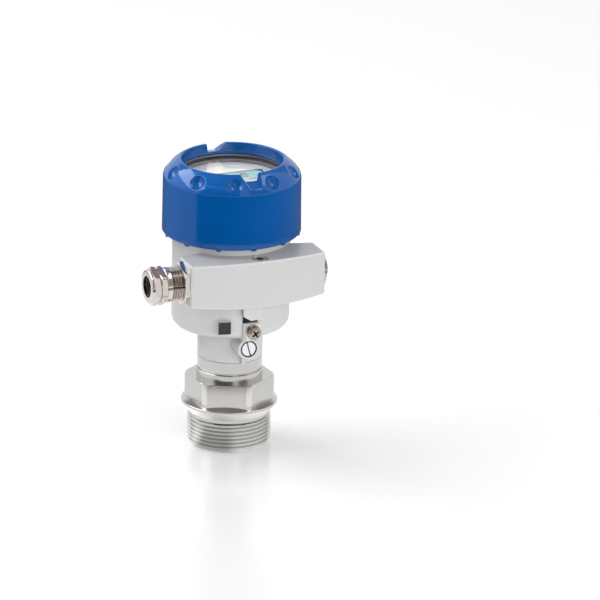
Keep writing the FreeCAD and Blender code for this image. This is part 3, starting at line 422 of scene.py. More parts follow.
def cap_finish():
    """Gloss blue coat with a slight orange peel."""
    finish = Finish("cap_coat")
    peel = finish.noise(500, 2)
    dust = finish.noise(5000, 2)
    cloud = finish.noise(90, 2)
    base = finish.shades(settings().colours.cap, 0.7 * cloud + 0.3 * dust, amount=0.05)
    return finish.finish(base, 0.68 + 0.06 * dust, peel, relief=0.000006, metallic=0.65, coat_weight=0.8,
                         coat_roughness=0.04, specular_ior_level=0.05)


def turned_steel_finish():
    """Stainless steel with fine turning marks round the main axis, with painted highlights on the cone and
    the corners.
    """
    finish = Finish("turned_steel")
    colours = settings().colours
    radius, height = finish.from_axis()
    marks = finish.marks(radius, height, scale=9000, detail=3, roughness=0.7)
    fine = finish.marks(radius, height, scale=26000, detail=2, roughness=0.6)
    cloud = finish.noise(120, 2)
    base = finish.shades(colours.steel, 0.5 * marks + 0.5 * cloud, amount=0.06)
    # Painted highlight on the turned corners of the big hexagon, mixed in at a share
    corners_outside, corners_above, corner_highlight_share = 0.02558, 0.0285, 0.45
    corners = (radius > corners_outside) * (height > corners_above)
    base = finish.mix(corners * corner_highlight_share, base, colours.corners)
    # Painted highlight: the cone under the collar is made near white, and also rougher
    cone_outside, cone_above, cone_below = 0.0236, 0.0195, 0.0247
    cone_highlight = (radius > cone_outside) * (height > cone_above) * (height < cone_below)
    base = finish.mix(cone_highlight, base, colours.cone_highlight)
    roughness = 0.13 + 0.15 * marks + 0.4 * cone_highlight
    return finish.finish(base, roughness, 0.6 * marks + 0.4 * fine, relief=0.000012, metallic=1.0)


def nickel_finish():
    """Nickel plate on turned brass, with marks round the axis of the entries and painted shade on the entry
    thread.
    """
    finish = Finish("nickel_plate")
    colours = settings().colours
    _, entry_y, entry_z = ENTRY_FACE
    radius, along = finish.from_axis(0.0, entry_y, entry_z, (0.0, math.radians(90), 0.0))
    marks = finish.marks(radius, along, scale=8000, detail=3, roughness=0.6)
    base = finish.shades(colours.nickel, finish.noise(300, 2), amount=0.06)
    x, _, _ = finish.split(finish.place)
    # Painted shade on the entry thread, between the gland's hexagon and the locknut
    thread_outside, thread_shade_share = -0.0507, 0.4
    thread = (x > thread_outside) * (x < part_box("gland_locknut")[0].x)
    base = finish.mix(thread * thread_shade_share, base, colours.gland_thread_shade)
    return finish.finish(base, 0.10 + 0.12 * marks, marks, relief=0.000008, metallic=1.0)


def plated_finish(name, tint, roughness):
    """Bright plate on the steel of the screws and of the earth terminal."""
    return grained_finish(name, tint, grain=(6000, 3), tint_change=0.08, roughness=roughness,
                          roughness_change=0.14, relief=0.00001, cloud=(400, 2), cloud_share=1.0,
                          metallic=1.0)


def screw_finish():
    """Plain steel of the screws."""
    return plated_finish("screw_steel", settings().colours.screw, roughness=0.22)


def zinc_finish():
    """Matt zinc plate of the set screw."""
    return grained_finish("zinc_plate", settings().colours.zinc, grain=(3500, 3), tint_change=0.05,
                          roughness=0.35, roughness_change=0.12, relief=0.00001, metallic=0.15)


def ceramic_finish():
    """Fine ground ceramic."""
    return grained_finish("ceramic", settings().colours.ceramic, grain=(4200, 3), tint_change=0.06,
                          roughness=0.48, roughness_change=0.12, relief=0.00001, cloud=(160, 3),
                          cloud_share=0.6)


def rubber_finish():
    """Matt black rubber."""
    return grained_finish("rubber", settings().colours.rubber, grain=(2600, 3), tint_change=0.25,
                          roughness=0.55, roughness_change=0.15, relief=0.00002)


def moulding_finish(name, tint, roughness):
    """Moulded plastic with a fine spark-eroded grain."""
    return grained_finish(name, tint, grain=(3200, 3), tint_change=0.06, roughness=roughness,
                          roughness_change=0.10, relief=0.000015, cloud=(150, 2), cloud_share=0.5)


def face_finish():
    """Plain film of the face plate."""
    return grained_finish("face_film", settings().colours.face, grain=(5200, 2), tint_change=0.03,
                          roughness=0.42, roughness_change=0.08, relief=0.00001, cloud=(70, 2),
                          cloud_share=0.6)


def digit_finish():
    """Dark segments of the display."""
    return grained_finish("digits", settings().colours.digits, grain=(3000, 2), tint_change=0.2,
                          roughness=0.5, roughness_change=0.1, specular_ior_level=0.1)


def screen_finish():
    """Glass of the display: a pale field with a dark border and a faint row pattern."""
    finish = Finish("screen")
    colours = settings().colours
    border = 0.0011
    low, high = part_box("lcd_panel")
    x, y, _ = finish.split(finish.place)
    inside_x = x.math("COMPARE", (low.x + high.x) / 2, (high.x - low.x) / 2 - border)
    inside_y = y.math("COMPARE", (low.y + high.y) / 2, (high.y - low.y) / 2 - border)
    rows = (y * 9000).math("SINE") * 0.5 + 0.5
    field = finish.shades(colours.screen, 0.8 * finish.noise(60, 2) + 0.2 * rows, amount=0.04)
    base = finish.mix(inside_x * inside_y, colours.screen_edge, field)
    return finish.finish(base, 0.16 + 0.06 * finish.noise(3000, 2), specular_ior_level=0.5)


def board_finish():
    """Circuit board: green varnish with fine lighter tracks."""
    finish = Finish("board")
    tint = settings().colours.board
    tracks = finish.cells(600)
    track_edge, track_share, lighter = 0.42, 0.6, 1.6
    base = finish.mix((tracks > track_edge) * track_share, tint, tuple(value * lighter for value in tint))
    return finish.finish(base, 0.32 + 0.1 * finish.noise(2000, 2), tracks, relief=0.00002)


def glass_finish():
    """Clear window glass that lets the lamps through to the display."""
    finish = Finish("window_glass")
    clear_glass, glass_shadow = (0.97, 0.985, 0.98), (0.96, 0.98, 0.97, 1)
    base = finish.shades(clear_glass, finish.noise(300, 2), amount=0.01)
    shader = finish.add("ShaderNodeBsdfPrincipled", None, {
        "Base Color": base, "Roughness": 0.0, "Transmission Weight": 1.0, "IOR": 1.5})
    clear = finish.add("ShaderNodeBsdfTransparent", None, {"Color": glass_shadow})
    shadow = finish.add("ShaderNodeLightPath")["Is Shadow Ray"]
    both = finish.add("ShaderNodeMixShader", None, {0: shadow, 1: shader, 2: clear})
    finish.add("ShaderNodeOutputMaterial", None, {"Surface": both})
    return finish.material


def give(material, *nodes):
    """Put a finish on CAD nodes."""
    for node in nodes:
        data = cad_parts[node].data
        data.materials.clear()
        data.materials.append(material)


def outline(corners, arc_steps=6):
    """Points along (radius, height) corners in millimetres; a third number rounds that corner."""
    places = [np.array(corner[:2], float) for corner in corners]
    points = []
    for index, corner in enumerate(corners):
        here = places[index]
        if len(corner) == 2 or not 0 < index < len(corners) - 1:
            points.append(here)
            continue
        to_last = places[index - 1] - here
        to_next = places[index + 1] - here
        to_last = to_last / np.linalg.norm(to_last)
        to_next = to_next / np.linalg.norm(to_next)
        half = math.acos(float(np.clip(to_last @ to_next, -1, 1))) / 2
        inward = (to_last + to_next) / np.linalg.norm(to_last + to_next)
        centre = here + inward * corner[2] / math.sin(half)
        first = here + to_last * corner[2] / math.tan(half) - centre
        last = here + to_next * corner[2] / math.tan(half) - centre
        sweep = math.pi - 2 * half
        for step in range(arc_steps + 1):
            share = step / arc_steps
            blend = math.sin((1 - share) * sweep) * first + math.sin(share * sweep) * last
            points.append(centre + blend / math.sin(sweep))
    return points


def divided(points, longest):
    """The same line with no stretch longer than a length."""
    out = [points[0]]
    for start, end in zip(points, points[1:]):
        count = max(1, math.ceil(np.linalg.norm(end - start) / longest))
        out += [start + (end - start) * step / count for step in range(1, count + 1)]
    return out


def ring_of(point, angles):
    """A point of an outline carried round the axis, in metres."""
    radius = np.broadcast_to(point[0], angles.shape) * MM
    height = np.broadcast_to(point[1], angles.shape) * MM
    return np.stack([radius * np.cos(angles), radius * np.sin(angles), height], axis=1)


def rings(points, angles):
    """Rows of points for (radius, height) places that are carried round the axis."""
    return [ring_of(point, angles) for point in points]


def even_angles(count):
    """Angles of evenly spaced columns round an axis."""
    return np.arange(count) * 2 * math.pi / count


def skin(rows, closed):
    """Vertices and quads between rows of points that run round the axis."""
    columns = len(rows[0])
    faces = []
    count = len(rows)
    for row in range(count if closed else count - 1):
        here = row * columns
        above = (row + 1) % count * columns
        for column in range(columns):
            beside = (column + 1) % columns
            faces.append((here + column, here + beside, above + beside, above + column))
    return np.vstack(rows), faces


def new_piece(name, data, material, body):
    """Show a mesh as a piece that rides on a body."""
    data.name = name
    data.materials.clear()
    data.materials.append(material)
    piece = bpy.data.objects.new(name, data)
    bpy.context.scene.collection.objects.link(piece)
    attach(piece, body)
    return piece


def tidy_mesh(data, smooth_degrees):
    """Merge doubles, point the faces outwards and keep only edges sharp that bend by more than an angle."""
    same_place, no_length = 0.000002, 0.0000001
    work = bmesh.new()
    work.from_mesh(data)
    bmesh.ops.remove_doubles(work, verts=work.verts, dist=same_place)
    bmesh.ops.dissolve_degenerate(work, edges=work.edges, dist=no_length)
    bmesh.ops.recalc_face_normals(work, faces=work.faces)
    work.to_mesh(data)
    work.free()
    data.shade_smooth()
    data.set_sharp_from_angle(angle=math.radians(smooth_degrees))
    return data


def mesh_from(vertices, faces):
    """Mesh from its points and faces."""
    data = bpy.data.meshes.new("work")
    data.from_pydata([tuple(vertex) for vertex in vertices], [], faces)
    return data


def joined(parts, name):
    """One mesh from several."""
    work = bmesh.new()
    for part in parts:
        work.from_mesh(part)
    data = bpy.data.meshes.new(name)
    work.to_mesh(data)
    work.free()
    return data


def node_tree(name, inputs):
    """Empty geometry node tree with named inputs; returns its maker and a wire for each input."""
    tree = bpy.data.node_groups.new(name, "GeometryNodeTree")
    tree.interface.new_socket("Geometry", in_out="INPUT", socket_type="NodeSocketGeometry")
    for label, (kind, default) in inputs.items():
        socket = tree.interface.new_socket(label, in_out="INPUT", socket_type="NodeSocket" + kind)
        socket.default_value = default
    tree.interface.new_socket("Geometry", in_out="OUTPUT", socket_type="NodeSocketGeometry")
    maker = Maker(tree)
    entry = maker.add("NodeGroupInput")
    return maker, {label: entry[label] for label in ["Geometry", *inputs]}


def close_tree(maker, geometry, material):
    """End a tree in real geometry with its material."""
    real = maker.add("GeometryNodeRealizeInstances", None, {"Geometry": geometry})
    painted = maker.add("GeometryNodeSetMaterial", None, {"Geometry": real, "Material": material})
    maker.add("NodeGroupOutput", None, {"Geometry": painted})
    return maker.tree


def grown(tree, base, values, extra=()):
    """Run a geometry node tree on a mesh, with values for its named inputs, and return the plain mesh."""
    carrier = bpy.data.objects.new("carrier", base)
    bpy.context.scene.collection.objects.link(carrier)
    modifier = carrier.modifiers.new("grow", "NODES")
    modifier.node_group = tree
    for item in tree.interface.items_tree:
        if item.in_out == "INPUT" and item.name in values:
            modifier[item.identifier] = values[item.name]
    for kind, choices in extra:
        other = carrier.modifiers.new("extra", kind)
        for name, value in choices.items():
            setattr(other, name, value)
    bpy.context.view_layer.update()
    evaluated = carrier.evaluated_get(bpy.context.evaluated_depsgraph_get())
    data = bpy.data.meshes.new_from_object(evaluated)
    bpy.data.objects.remove(carrier)
    return data


def thread_tree(material):
    """Tree that grows a threaded sleeve from a grid whose X is the turn and whose Y is the way along."""
    maker, given = node_tree("thread_sleeve", {
        "Crest": ("Float", 0.0239), "Root": ("Float", 0.0226), "Pitch": ("Float", 0.0023),
        "Low": ("Float", 0.0), "High": ("Float", 0.0176), "Nose": ("Float", 0.0213),
        "Nose Rise": ("Float", 1.0), "End": ("Float", 0.0226), "End Rise": ("Float", 2.0),
        "Crest Share": ("Float", 0.2)})
    turn, along, _ = maker.split(maker.add("GeometryNodeInputPosition"))
    height = given["Low"] + given["Pitch"] * (along + turn - 1.0)
    height = height.math("MINIMUM", given["High"]).math("MAXIMUM", given["Low"])
    phase = ((height - given["Low"]) / given["Pitch"] - turn).math("FRACT")
    ridge = 1.0 - (phase * 2.0 - 1.0).math("ABSOLUTE")
    flank = (ridge - given["Crest Share"]) / (1.0 - 2.0 * given["Crest Share"])
    flank = flank.math("MINIMUM", 1.0).math("MAXIMUM", 0.0)
    radius = given["Root"] + (given["Crest"] - given["Root"]) * flank
    nose = given["Nose"] + (height - given["Low"]) * given["Nose Rise"]
    end = given["End"] + (given["High"] - height) * given["End Rise"]
    radius = radius.math("MINIMUM", nose).math("MINIMUM", end)
    angle = turn * (2 * math.pi)
    moved = maker.add("GeometryNodeSetPosition", None, {
        "Geometry": given["Geometry"],
        "Position": maker.vector(radius * angle.math("COSINE"), radius * angle.math("SINE"), height)})
    merged = maker.add("GeometryNodeMergeByDistance", None, {"Geometry": moved, "Distance": 0.000001})
    return close_tree(maker, merged, material)


def thread_sleeve(columns, steps, pitch, low, high, material, **values):
    """Open threaded sleeve between two heights, with a number of steps for one turn's rise."""
    turns = math.ceil((high - low) / pitch) + 2
    rows = turns * steps
    grid_x, grid_y = np.meshgrid(np.arange(columns + 1) / columns, np.arange(rows + 1) / steps)
    vertices = np.stack([grid_x.ravel(), grid_y.ravel(), np.zeros(grid_x.size)], axis=1)
    wide = columns + 1
    faces = [(row * wide + column, row * wide + column + 1, (row + 1) * wide + column + 1,
              (row + 1) * wide + column) for row in range(rows) for column in range(columns)]
    values = {name.replace("_", " ").title(): value for name, value in values.items()}
    values.update({"Pitch": pitch, "Low": low, "High": high})
    return grown(thread_tree(material), mesh_from(vertices, faces), values)


def bar_outline(long, wide, turn):
    """Corners of a straight bar round its middle, turned from +X."""
    along = np.array([math.cos(turn), math.sin(turn)]) * long / 2
    beside = np.array([-math.sin(turn), math.cos(turn)]) * wide / 2
    return np.array([-along - beside, along - beside, along + beside, -along + beside])


def hexagon_rim(angles, flats, turn, corner_r):
    """Radius of a hexagon with turned-down corners at each angle, in millimetres."""
    sixth = math.radians(60)
    off = np.mod(angles - turn, sixth) - sixth / 2
    return np.minimum(flats / 2 / np.cos(off), corner_r)


class TRANSMITTER_OT_stage(Operator):
    """Camera, lamps, floor, background and the cards that only gloss shows"""
    bl_idname = "transmitter.stage"
    bl_label = "Stage"

    # Place, height of the point that the lamp faces, width and height in metres, and whether gloss shows it
    LAMPS = {
        "key": ((-1.45, 0.86, 1.70), 0.12, (2.6, 0.85), True),
        "top": ((1.14, -0.37, 2.08), 0.12, (1.2, 0.7), True),
        "fill": ((0.35, -2.48, 0.80), 0.08, (2.8, 1.5), False),
        "overhead": ((-0.40, 0.50, 2.10), 0.08, (1.3, 1.3), False),
    }

    # Azimuths, from the front over the right, and elevations in degrees, distance in metres, and grey
    CARDS = {
        "wall_behind": ((112, 205), (27, 60), 4.0, 0.27),
        "wall_in_front": ((-76, -9), (0, 52), 5.0, 0.14),
        "wall_on_the_right": ((10, 45), (6, 50), 5.0, 0.32),
        "ceiling": ((-180, 180), (56, 90), 6.0, 0.30),
    }
    CARD_COLUMNS = 25
    CARD_ROWS = 13
    CARD_TINT = (1.0, 0.88, 0.80)

    # The ring on the table in millimetres, and its grey at each azimuth in degrees
    TABLE_INSIDE, TABLE_OUTSIDE, TABLE_HEIGHT = 350, 1200, 1.5
    TABLE_GREYS = [
        (-180, 0.10), (-160, 0.14), (-125, 0.45), (-82, 0.62), (-77, 0.0), (-40, 0.0), (0, 0.04), (30, 0.10),
        (80, 0.22), (125, 0.14), (180, 0.10)]

    # The floor in metres: its reach, where gloss shows it in the greys below, which are painted shade and
    # painted light round the base, and how they turn to white
    FLOOR_REACH = 8.0
    NEAR_RADIUS = 0.046
    NEAR_FADE = 0.016
    NEAR_PAINTED_LIGHT_AND_SHADE = [
        (-180, 0.2), (-155, 0.2), (-138, 1.8), (-98, 1.6), (-78, 0.56), (-25, 0.56), (-5, 1.05), (75, 0.95),
        (100, 0.35), (180, 0.2)]

    def execute(self, context):
        stage = settings().stage
        scene = context.scene
        scene.view_settings.view_transform = "Standard"
        self.add_camera(scene, stage)
        self.add_floor(stage)
        self.add_world(scene, stage)
        for name, (place, facing, size, in_gloss) in self.LAMPS.items():
            lamp = self.add_lamp(name, place, (0.0, 0.0, facing), size, getattr(stage, name + "_power"))
            lamp.visible_glossy = in_gloss
        self.add_table_card()
        for name, values in self.CARDS.items():
            self.add_card(name, *values)
        return {"FINISHED"}

    def add_camera(self, scene, stage):
        """Camera from its place and its yaw, pitch and roll."""
        yaw, pitch, roll = stage.camera_yaw, stage.camera_pitch, stage.camera_roll
        ahead = Vector((math.sin(yaw), math.cos(yaw), 0))
        forward = ahead * math.cos(pitch) - Vector((0, 0, math.sin(pitch)))
        level = Vector((math.cos(yaw), -math.sin(yaw), 0))
        upright = level.cross(forward)
        right = level * math.cos(roll) + upright * math.sin(roll)
        up = upright * math.cos(roll) - level * math.sin(roll)
        data = bpy.data.cameras.new("camera")
        data.lens = stage.lens
        data.sensor_width = 36
        data.clip_start = 0.1
        data.clip_end = 60
        camera = bpy.data.objects.new("camera", data)
        scene.collection.objects.link(camera)
        camera.matrix_world = Matrix.Translation(stage.camera_place) @ Matrix(
            (right, up, -forward)).transposed().to_4x4()
        scene.camera = camera

    def add_card(self, name, azimuths, elevations, distance, grey):
        """A curved card round the object that only shows in gloss."""
        wide, tall = self.CARD_COLUMNS, self.CARD_ROWS
        across = np.radians(np.linspace(*azimuths, wide))
        rows = []
        for rise in np.radians(np.linspace(*elevations, tall)):
            level = distance * math.cos(rise)
            upright = np.full(wide, distance * math.sin(rise))
            rows.append(np.stack([level * np.sin(across), -level * np.cos(across), upright], axis=1))
        faces = []
        for row in range(tall - 1):
            for column in range(wide - 1):
                here = row * wide + column
                faces.append((here, here + wide, here + wide + 1, here + 1))
        finish = Finish(name)
        tint = finish.shades([grey * share for share in self.CARD_TINT], finish.noise(1.2, 1), amount=0.25)
        self.show_card(name, mesh_from(np.vstack(rows), faces), finish, tint)

    def add_table_card(self):
        """A ring on the floor that only shows in gloss, bright at the left and dark in front."""
        columns = 96
        reaches = [(self.TABLE_OUTSIDE, self.TABLE_HEIGHT), (self.TABLE_INSIDE, self.TABLE_HEIGHT)]
        rows = rings(reaches, even_angles(columns))
        finish = Finish("table_card")
        tint = finish.grey_round(self.TABLE_GREYS)
        self.show_card("table_card", mesh_from(*skin(rows, False)), finish, tint)

    def show_card(self, name, data, finish, tint):
        """Show a card to gloss alone, and only its inner side."""
        glow = finish.add("ShaderNodeEmission", None, {"Color": tint, "Strength": 1.0})
        clear = finish.add("ShaderNodeBsdfTransparent")
        away = finish.add("ShaderNodeNewGeometry")["Backfacing"]
        both = finish.add("ShaderNodeMixShader", None, {0: away, 1: glow, 2: clear})
        finish.add("ShaderNodeOutputMaterial", None, {"Surface": both})
        finish.material.cycles.emission_sampling = "NONE"
        data.materials.append(finish.material)
        card = bpy.data.objects.new(name, data)
        bpy.context.scene.collection.objects.link(card)
        card.visible_camera = False
        card.visible_diffuse = False
        card.visible_transmission = False
        card.visible_shadow = False

    def add_floor(self, stage):
        """White floor with a soft mirror. Gloss sees it white, but near the base it shows painted shade and
        painted light.
        """
        reach = self.FLOOR_REACH
        data = mesh_from([(-reach, -reach, 0), (reach, -reach, 0), (reach, reach, 0), (-reach, reach, 0)],
                         [(0, 1, 2, 3)])
        floor = bpy.data.objects.new("floor", data)
        bpy.context.scene.collection.objects.link(floor)
        finish = Finish("floor")
        shade = stage.floor_shade
        white = finish.add("ShaderNodeBsdfPrincipled", None, {
            "Base Color": (shade, shade, shade, 1), "Roughness": 0.26 + 0.02 * finish.noise(40, 2),
            "IOR": 1.9, "Coat Weight": 0.8, "Coat Roughness": 0.2})
        glow = finish.add("ShaderNodeEmission", None, {"Color": (1, 1, 1, 1), "Strength": stage.floor_glow})
        lit = finish.add("ShaderNodeAddShader", None, {0: white, 1: glow})
        path = finish.add("ShaderNodeLightPath")
        seen = path["Is Camera Ray"].math("MAXIMUM", path["Is Transmission Ray"])
        above = finish.add("ShaderNodeMixShader", None, {0: seen, 1: white, 2: lit})
        radius, _ = finish.from_axis()
        # Near the base, gloss sees painted shade and painted light that depend on the azimuth
        near = finish.grey_round(self.NEAR_PAINTED_LIGHT_AND_SHADE)
        far = ((radius - self.NEAR_RADIUS) / self.NEAR_FADE).math("MAXIMUM", 0.0).math("MINIMUM", 1.0)
        gloss_floor_with_painted_light = finish.mix(far, near, (1.0, 1.0, 1.0))
        plain = finish.add("ShaderNodeEmission", None, {"Color": gloss_floor_with_painted_light, "Strength": 1.0})
        above = finish.add("ShaderNodeMixShader", None, {0: path["Is Glossy Ray"], 1: above, 2: plain})
        clear = finish.add("ShaderNodeBsdfTransparent")
        below = finish.add("ShaderNodeNewGeometry")["Backfacing"]
        both = finish.add("ShaderNodeMixShader", None, {0: below, 1: above, 2: clear})
        finish.add("ShaderNodeOutputMaterial", None, {"Surface": both})
        data.materials.append(finish.material)

    def add_world(self, scene, stage):
        """Even light from all sides, and white where the view, gloss or glass sees it."""
        world = bpy.data.worlds.new("studio")
        world.use_nodes = True
        maker = Maker(world.node_tree)
        world.node_tree.nodes.clear()
        path = maker.add("ShaderNodeLightPath")
        seen = path["Is Camera Ray"].math("MAXIMUM", path["Is Glossy Ray"])
        seen = seen.math("MAXIMUM", path["Is Transmission Ray"])
        plain = maker.add("ShaderNodeBackground", None, {"Color": (1, 1, 1, 1), "Strength": stage.sky})
        white = maker.add("ShaderNodeBackground", None, {"Color": (1, 1, 1, 1), "Strength": 1.0})
        both = maker.add("ShaderNodeMixShader", None, {0: seen, 1: plain, 2: white})
        maker.add("ShaderNodeOutputWorld", None, {"Surface": both})
        scene.world = world

    def add_lamp(self, name, place, target, size, power):
        """A flat lamp that faces a point."""
        data = bpy.data.lights.new(name, "AREA")
        data.shape = "RECTANGLE"
        data.size, data.size_y = size
        data.energy = power
        lamp = bpy.data.objects.new(name, data)
        bpy.context.scene.collection.objects.link(lamp)
        lamp.location = place
        lamp.rotation_euler = (Vector(target) - Vector(place)).to_track_quat("-Z", "Y").to_euler()
        return lamp


class TRANSMITTER_OT_connection(Operator):
    """Process connection with its thread, collar and hexagon, and the measuring cell"""
    bl_idname = "transmitter.connection"
    bl_label = "Process connection"

    # Radius of the hexagon's turned corners as a share of its width, and drop of its bevel in millimetres
    CORNER_SHARE = 0.5622
    BEVEL_DROP = 0.6

    # Millimetres from the hexagon's edges to the rows of points that keep them crisp
    ABOVE_FOOT = 0.12
    BELOW_SHOULDER = 0.15
    SHOULDER_IN, SHOULDER_DOWN = 0.03, 0.04
    TOP_IN = 0.05

    def execute(self, context):
        sizes = settings().connection
        columns, steps = 288, 10
        angles = even_angles(columns)
        steel = turned_steel_finish()
        flats = sizes.hexagon_flats / MM
        rim = hexagon_rim(angles, flats, sizes.hexagon_turn, flats * self.CORNER_SHARE)
        top = sizes.hexagon_top / MM
        cone_r = float(rim.max()) - self.BEVEL_DROP / BEVEL_RISE
        shoulder = top - np.maximum(rim - cone_r, 0) * BEVEL_RISE
        (collar_r, collar_top, _), (foot_r, foot_top) = COLLAR[-2:]
        foot = collar_top + (collar_r - rim) / (collar_r - foot_r) * (foot_top - collar_top)
        hexagon = [
            (rim, foot), (rim, foot + self.ABOVE_FOOT), (rim, shoulder - self.BELOW_SHOULDER),
            (rim - self.SHOULDER_IN, shoulder - self.SHOULDER_DOWN),
            (np.minimum(rim, cone_r) - self.TOP_IN, top)]
        thread_end = (sizes.thread_root / MM, sizes.thread_top / MM)
        nose_r = sizes.nose_radius / MM
        band_r = CONNECTION_INSIDE[-1][0]
        step_z = CONNECTION_INSIDE[0][1]
        inside = [(band_r, top), *reversed(CONNECTION_INSIDE), (nose_r, step_z), (nose_r, 0)]
        rows = rings([*outline([thread_end, *COLLAR])[:-1], *hexagon, *outline(inside)], angles)
        nose_rise = (sizes.thread_radius - sizes.nose_radius) / sizes.chamfer_height
        sleeve = thread_sleeve(
            columns, steps, sizes.thread_pitch, 0.0, sizes.thread_top, steel, crest=sizes.thread_radius,
            root=sizes.thread_root, nose=sizes.nose_radius, nose_rise=nose_rise, end=sizes.thread_root,
            end_rise=2.0, crest_share=0.2)
        data = tidy_mesh(joined([mesh_from(*skin(rows, False)), sleeve], "connection"), smooth_degrees=24)
        piece = new_piece("connection_body", data, steel, "process")
        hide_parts("process_connection")
        give(ceramic_finish(), "ceramic_cell")
        return {"FINISHED"}


class TRANSMITTER_OT_cap(Operator):
    """Cap with dimples, tool notches and lugs"""
    bl_idname = "transmitter.cap"
    bl_label = "Cap"

    # The part of the outline that the relief bends, and the step of its rows, in millimetres
    RELIEF_ABOVE = 157
    RELIEF_OUTSIDE = 29.5
    RELIEF_STEP = 0.34

    # Radius of the notches' middle in millimetres, and half of the sector in which the columns follow a
    # notch, with the part of it over which that fades
    NOTCH_RADIUS = 33.05
    NOTCH_SECTOR = math.radians(16)
    NOTCH_FADE = math.radians(6)

    # Rise of the notches' slope and of their steep side, and the rounding at their feet in metres
    SLOPE_RISE = 4.7 / 3.5
    STEEP_RISE = 5.7 / 0.9
    FOOT_SOFTNESS = 0.0003
    SLOPE_SOFTNESS = 0.0004

    # Outer radius of the lugs, height of the rim, how deep a lug is rooted in it, and its bevel, in metres
    LUG_RING = 0.0396
    RIM_HEIGHT = 0.1281
    LUG_ROOT = 0.0009
    LUG_BEVEL = 0.00018

    def execute(self, context):
        sizes = settings().cap
        coat = shared("cap_coat", cap_finish)
        columns = 720
        points = outline(CAP_OUTLINE, arc_steps=8)
        bent = [index for index, (radius, height) in enumerate(points)
                if height > self.RELIEF_ABOVE and radius > self.RELIEF_OUTSIDE]
        first, last = bent[0], bent[-1]
        points = [*points[:first], *divided(points[first:last + 1], self.RELIEF_STEP), *points[last + 1:]]
        rows = [ring_of(point, self.column_angles(columns, point[0])) for point in points]
        data = grown(self.relief_tree(coat), mesh_from(*skin(rows, True)), {
            "Dimples": sizes.dimple_count, "Ball Radius": sizes.dimple_radius,
            "Ball Ring": sizes.dimple_ring, "Ball Height": sizes.dimple_height,
            "Softness": sizes.edge_softness, "Opening": WINDOW_WALL * MM, "Notch Floor": sizes.notch_floor,
            "Notch Fall": math.tan(sizes.notch_fall), "Notch Low": sizes.notch_low,
            "Notch High": sizes.notch_high, "Notch Softness": sizes.notch_softness})
        data = tidy_mesh(data, smooth_degrees=38)
        piece = new_piece("cap_shell", data, coat, "cap")
        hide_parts("cap")
        bevel = ("BEVEL", {"width": self.LUG_BEVEL, "segments": 2, "limit_method": "ANGLE"})
        lugs = grown(self.lug_tree(coat), mesh_from([(0, 0, 0)], []), {
            "Lugs": sizes.lug_count, "Start": sizes.lug_start, "Width": sizes.lug_width,
            "Drop": sizes.lug_drop, "Ring": self.LUG_RING, "Rim": self.RIM_HEIGHT}, [bevel])
        new_piece("cap_lugs", tidy_mesh(lugs, smooth_degrees=40), coat, "cap")
        return {"FINISHED"}

    def column_angles(self, columns, radius):
        """Angles of the columns; near the two notches they keep their distance from the middle plane."""
        plain = even_angles(columns)
        out = plain.copy()
        for middle in (math.radians(90), math.radians(270)):
            off = plain - middle
            near = np.clip((self.NOTCH_SECTOR - np.abs(off)) / self.NOTCH_FADE, 0, 1)
            kept = np.arcsin(np.clip(self.NOTCH_RADIUS * np.sin(off) / radius, -1, 1))
            inside = np.abs(off) < self.NOTCH_SECTOR
            out = np.where(inside, middle + off + (kept - off) * near, out)
        return out

    def relief_tree(self, material):
        """Tree that presses the dimples and the tool notches into the cap."""
        maker, given = node_tree("cap_relief", {
            "Dimples": ("Int", 10), "Ball Radius": ("Float", 0.0057), "Ball Ring": ("Float", 0.0388),
            "Ball Height": ("Float", 0.1679), "Softness": ("Float", 0.0008), "Opening": ("Float", 0.0291),
            "Notch Floor": ("Float", 0.1658), "Notch Fall": ("Float", 0.21), "Notch Low": ("Float", -0.0032),
            "Notch High": ("Float", 0.0038), "Notch Softness": ("Float", 0.0013)})
        x, y, z = maker.split(maker.add("GeometryNodeInputPosition"))
        ring = (x * x + y * y).math("SQRT")
        angle = y.math("ARCTAN2", x)
        step = 2 * math.pi / given["Dimples"]
        start = (angle - math.radians(90)) / step
        folded = (start.math("FRACT") - 0.5) * step
        near_x = ring * folded.math("COSINE") - given["Ball Ring"]
        near_y = ring * folded.math("SINE")
        near_z = z - given["Ball Height"]
        reach = (near_x * near_x + near_y * near_y + near_z * near_z).math("SQRT")
        pushed = reach.math("SMOOTH_MAX", given["Ball Radius"], given["Softness"]) / reach
        new_x = given["Ball Ring"] + near_x * pushed
        new_y = near_y * pushed
        new_z = given["Ball Height"] + near_z * pushed
        new_ring = (new_x * new_x + new_y * new_y).math("SQRT")
        new_angle = angle - folded + new_y.math("ARCTAN2", new_x)
        in_reach = reach < given["Ball Radius"] + given["Softness"]
        ring = ring + (new_ring - ring) * in_reach
        angle = angle + (new_angle - angle) * in_reach
        z = z + (new_z - z) * in_reach
        x = ring * angle.math("COSINE")
        y = ring * angle.math("SINE")
        side = x * (1.0 - 2.0 * (y > 0.0))
        slope = (given["Notch Low"] - side) * self.SLOPE_RISE
        steep = (side - given["Notch High"]) * self.STEEP_RISE
        floor = given["Notch Floor"] - (y.math("ABSOLUTE") - given["Opening"]) * given["Notch Fall"]
        sides = slope.math("SMOOTH_MAX", steep, self.FOOT_SOFTNESS)
        notch = floor + sides.math("SMOOTH_MAX", 0.0, self.SLOPE_SOFTNESS)
        z = z.math("SMOOTH_MIN", notch, given["Notch Softness"])
        moved = maker.add("GeometryNodeSetPosition", None,
                          {"Geometry": given["Geometry"], "Position": maker.vector(x, y, z)})
        return close_tree(maker, moved, material)

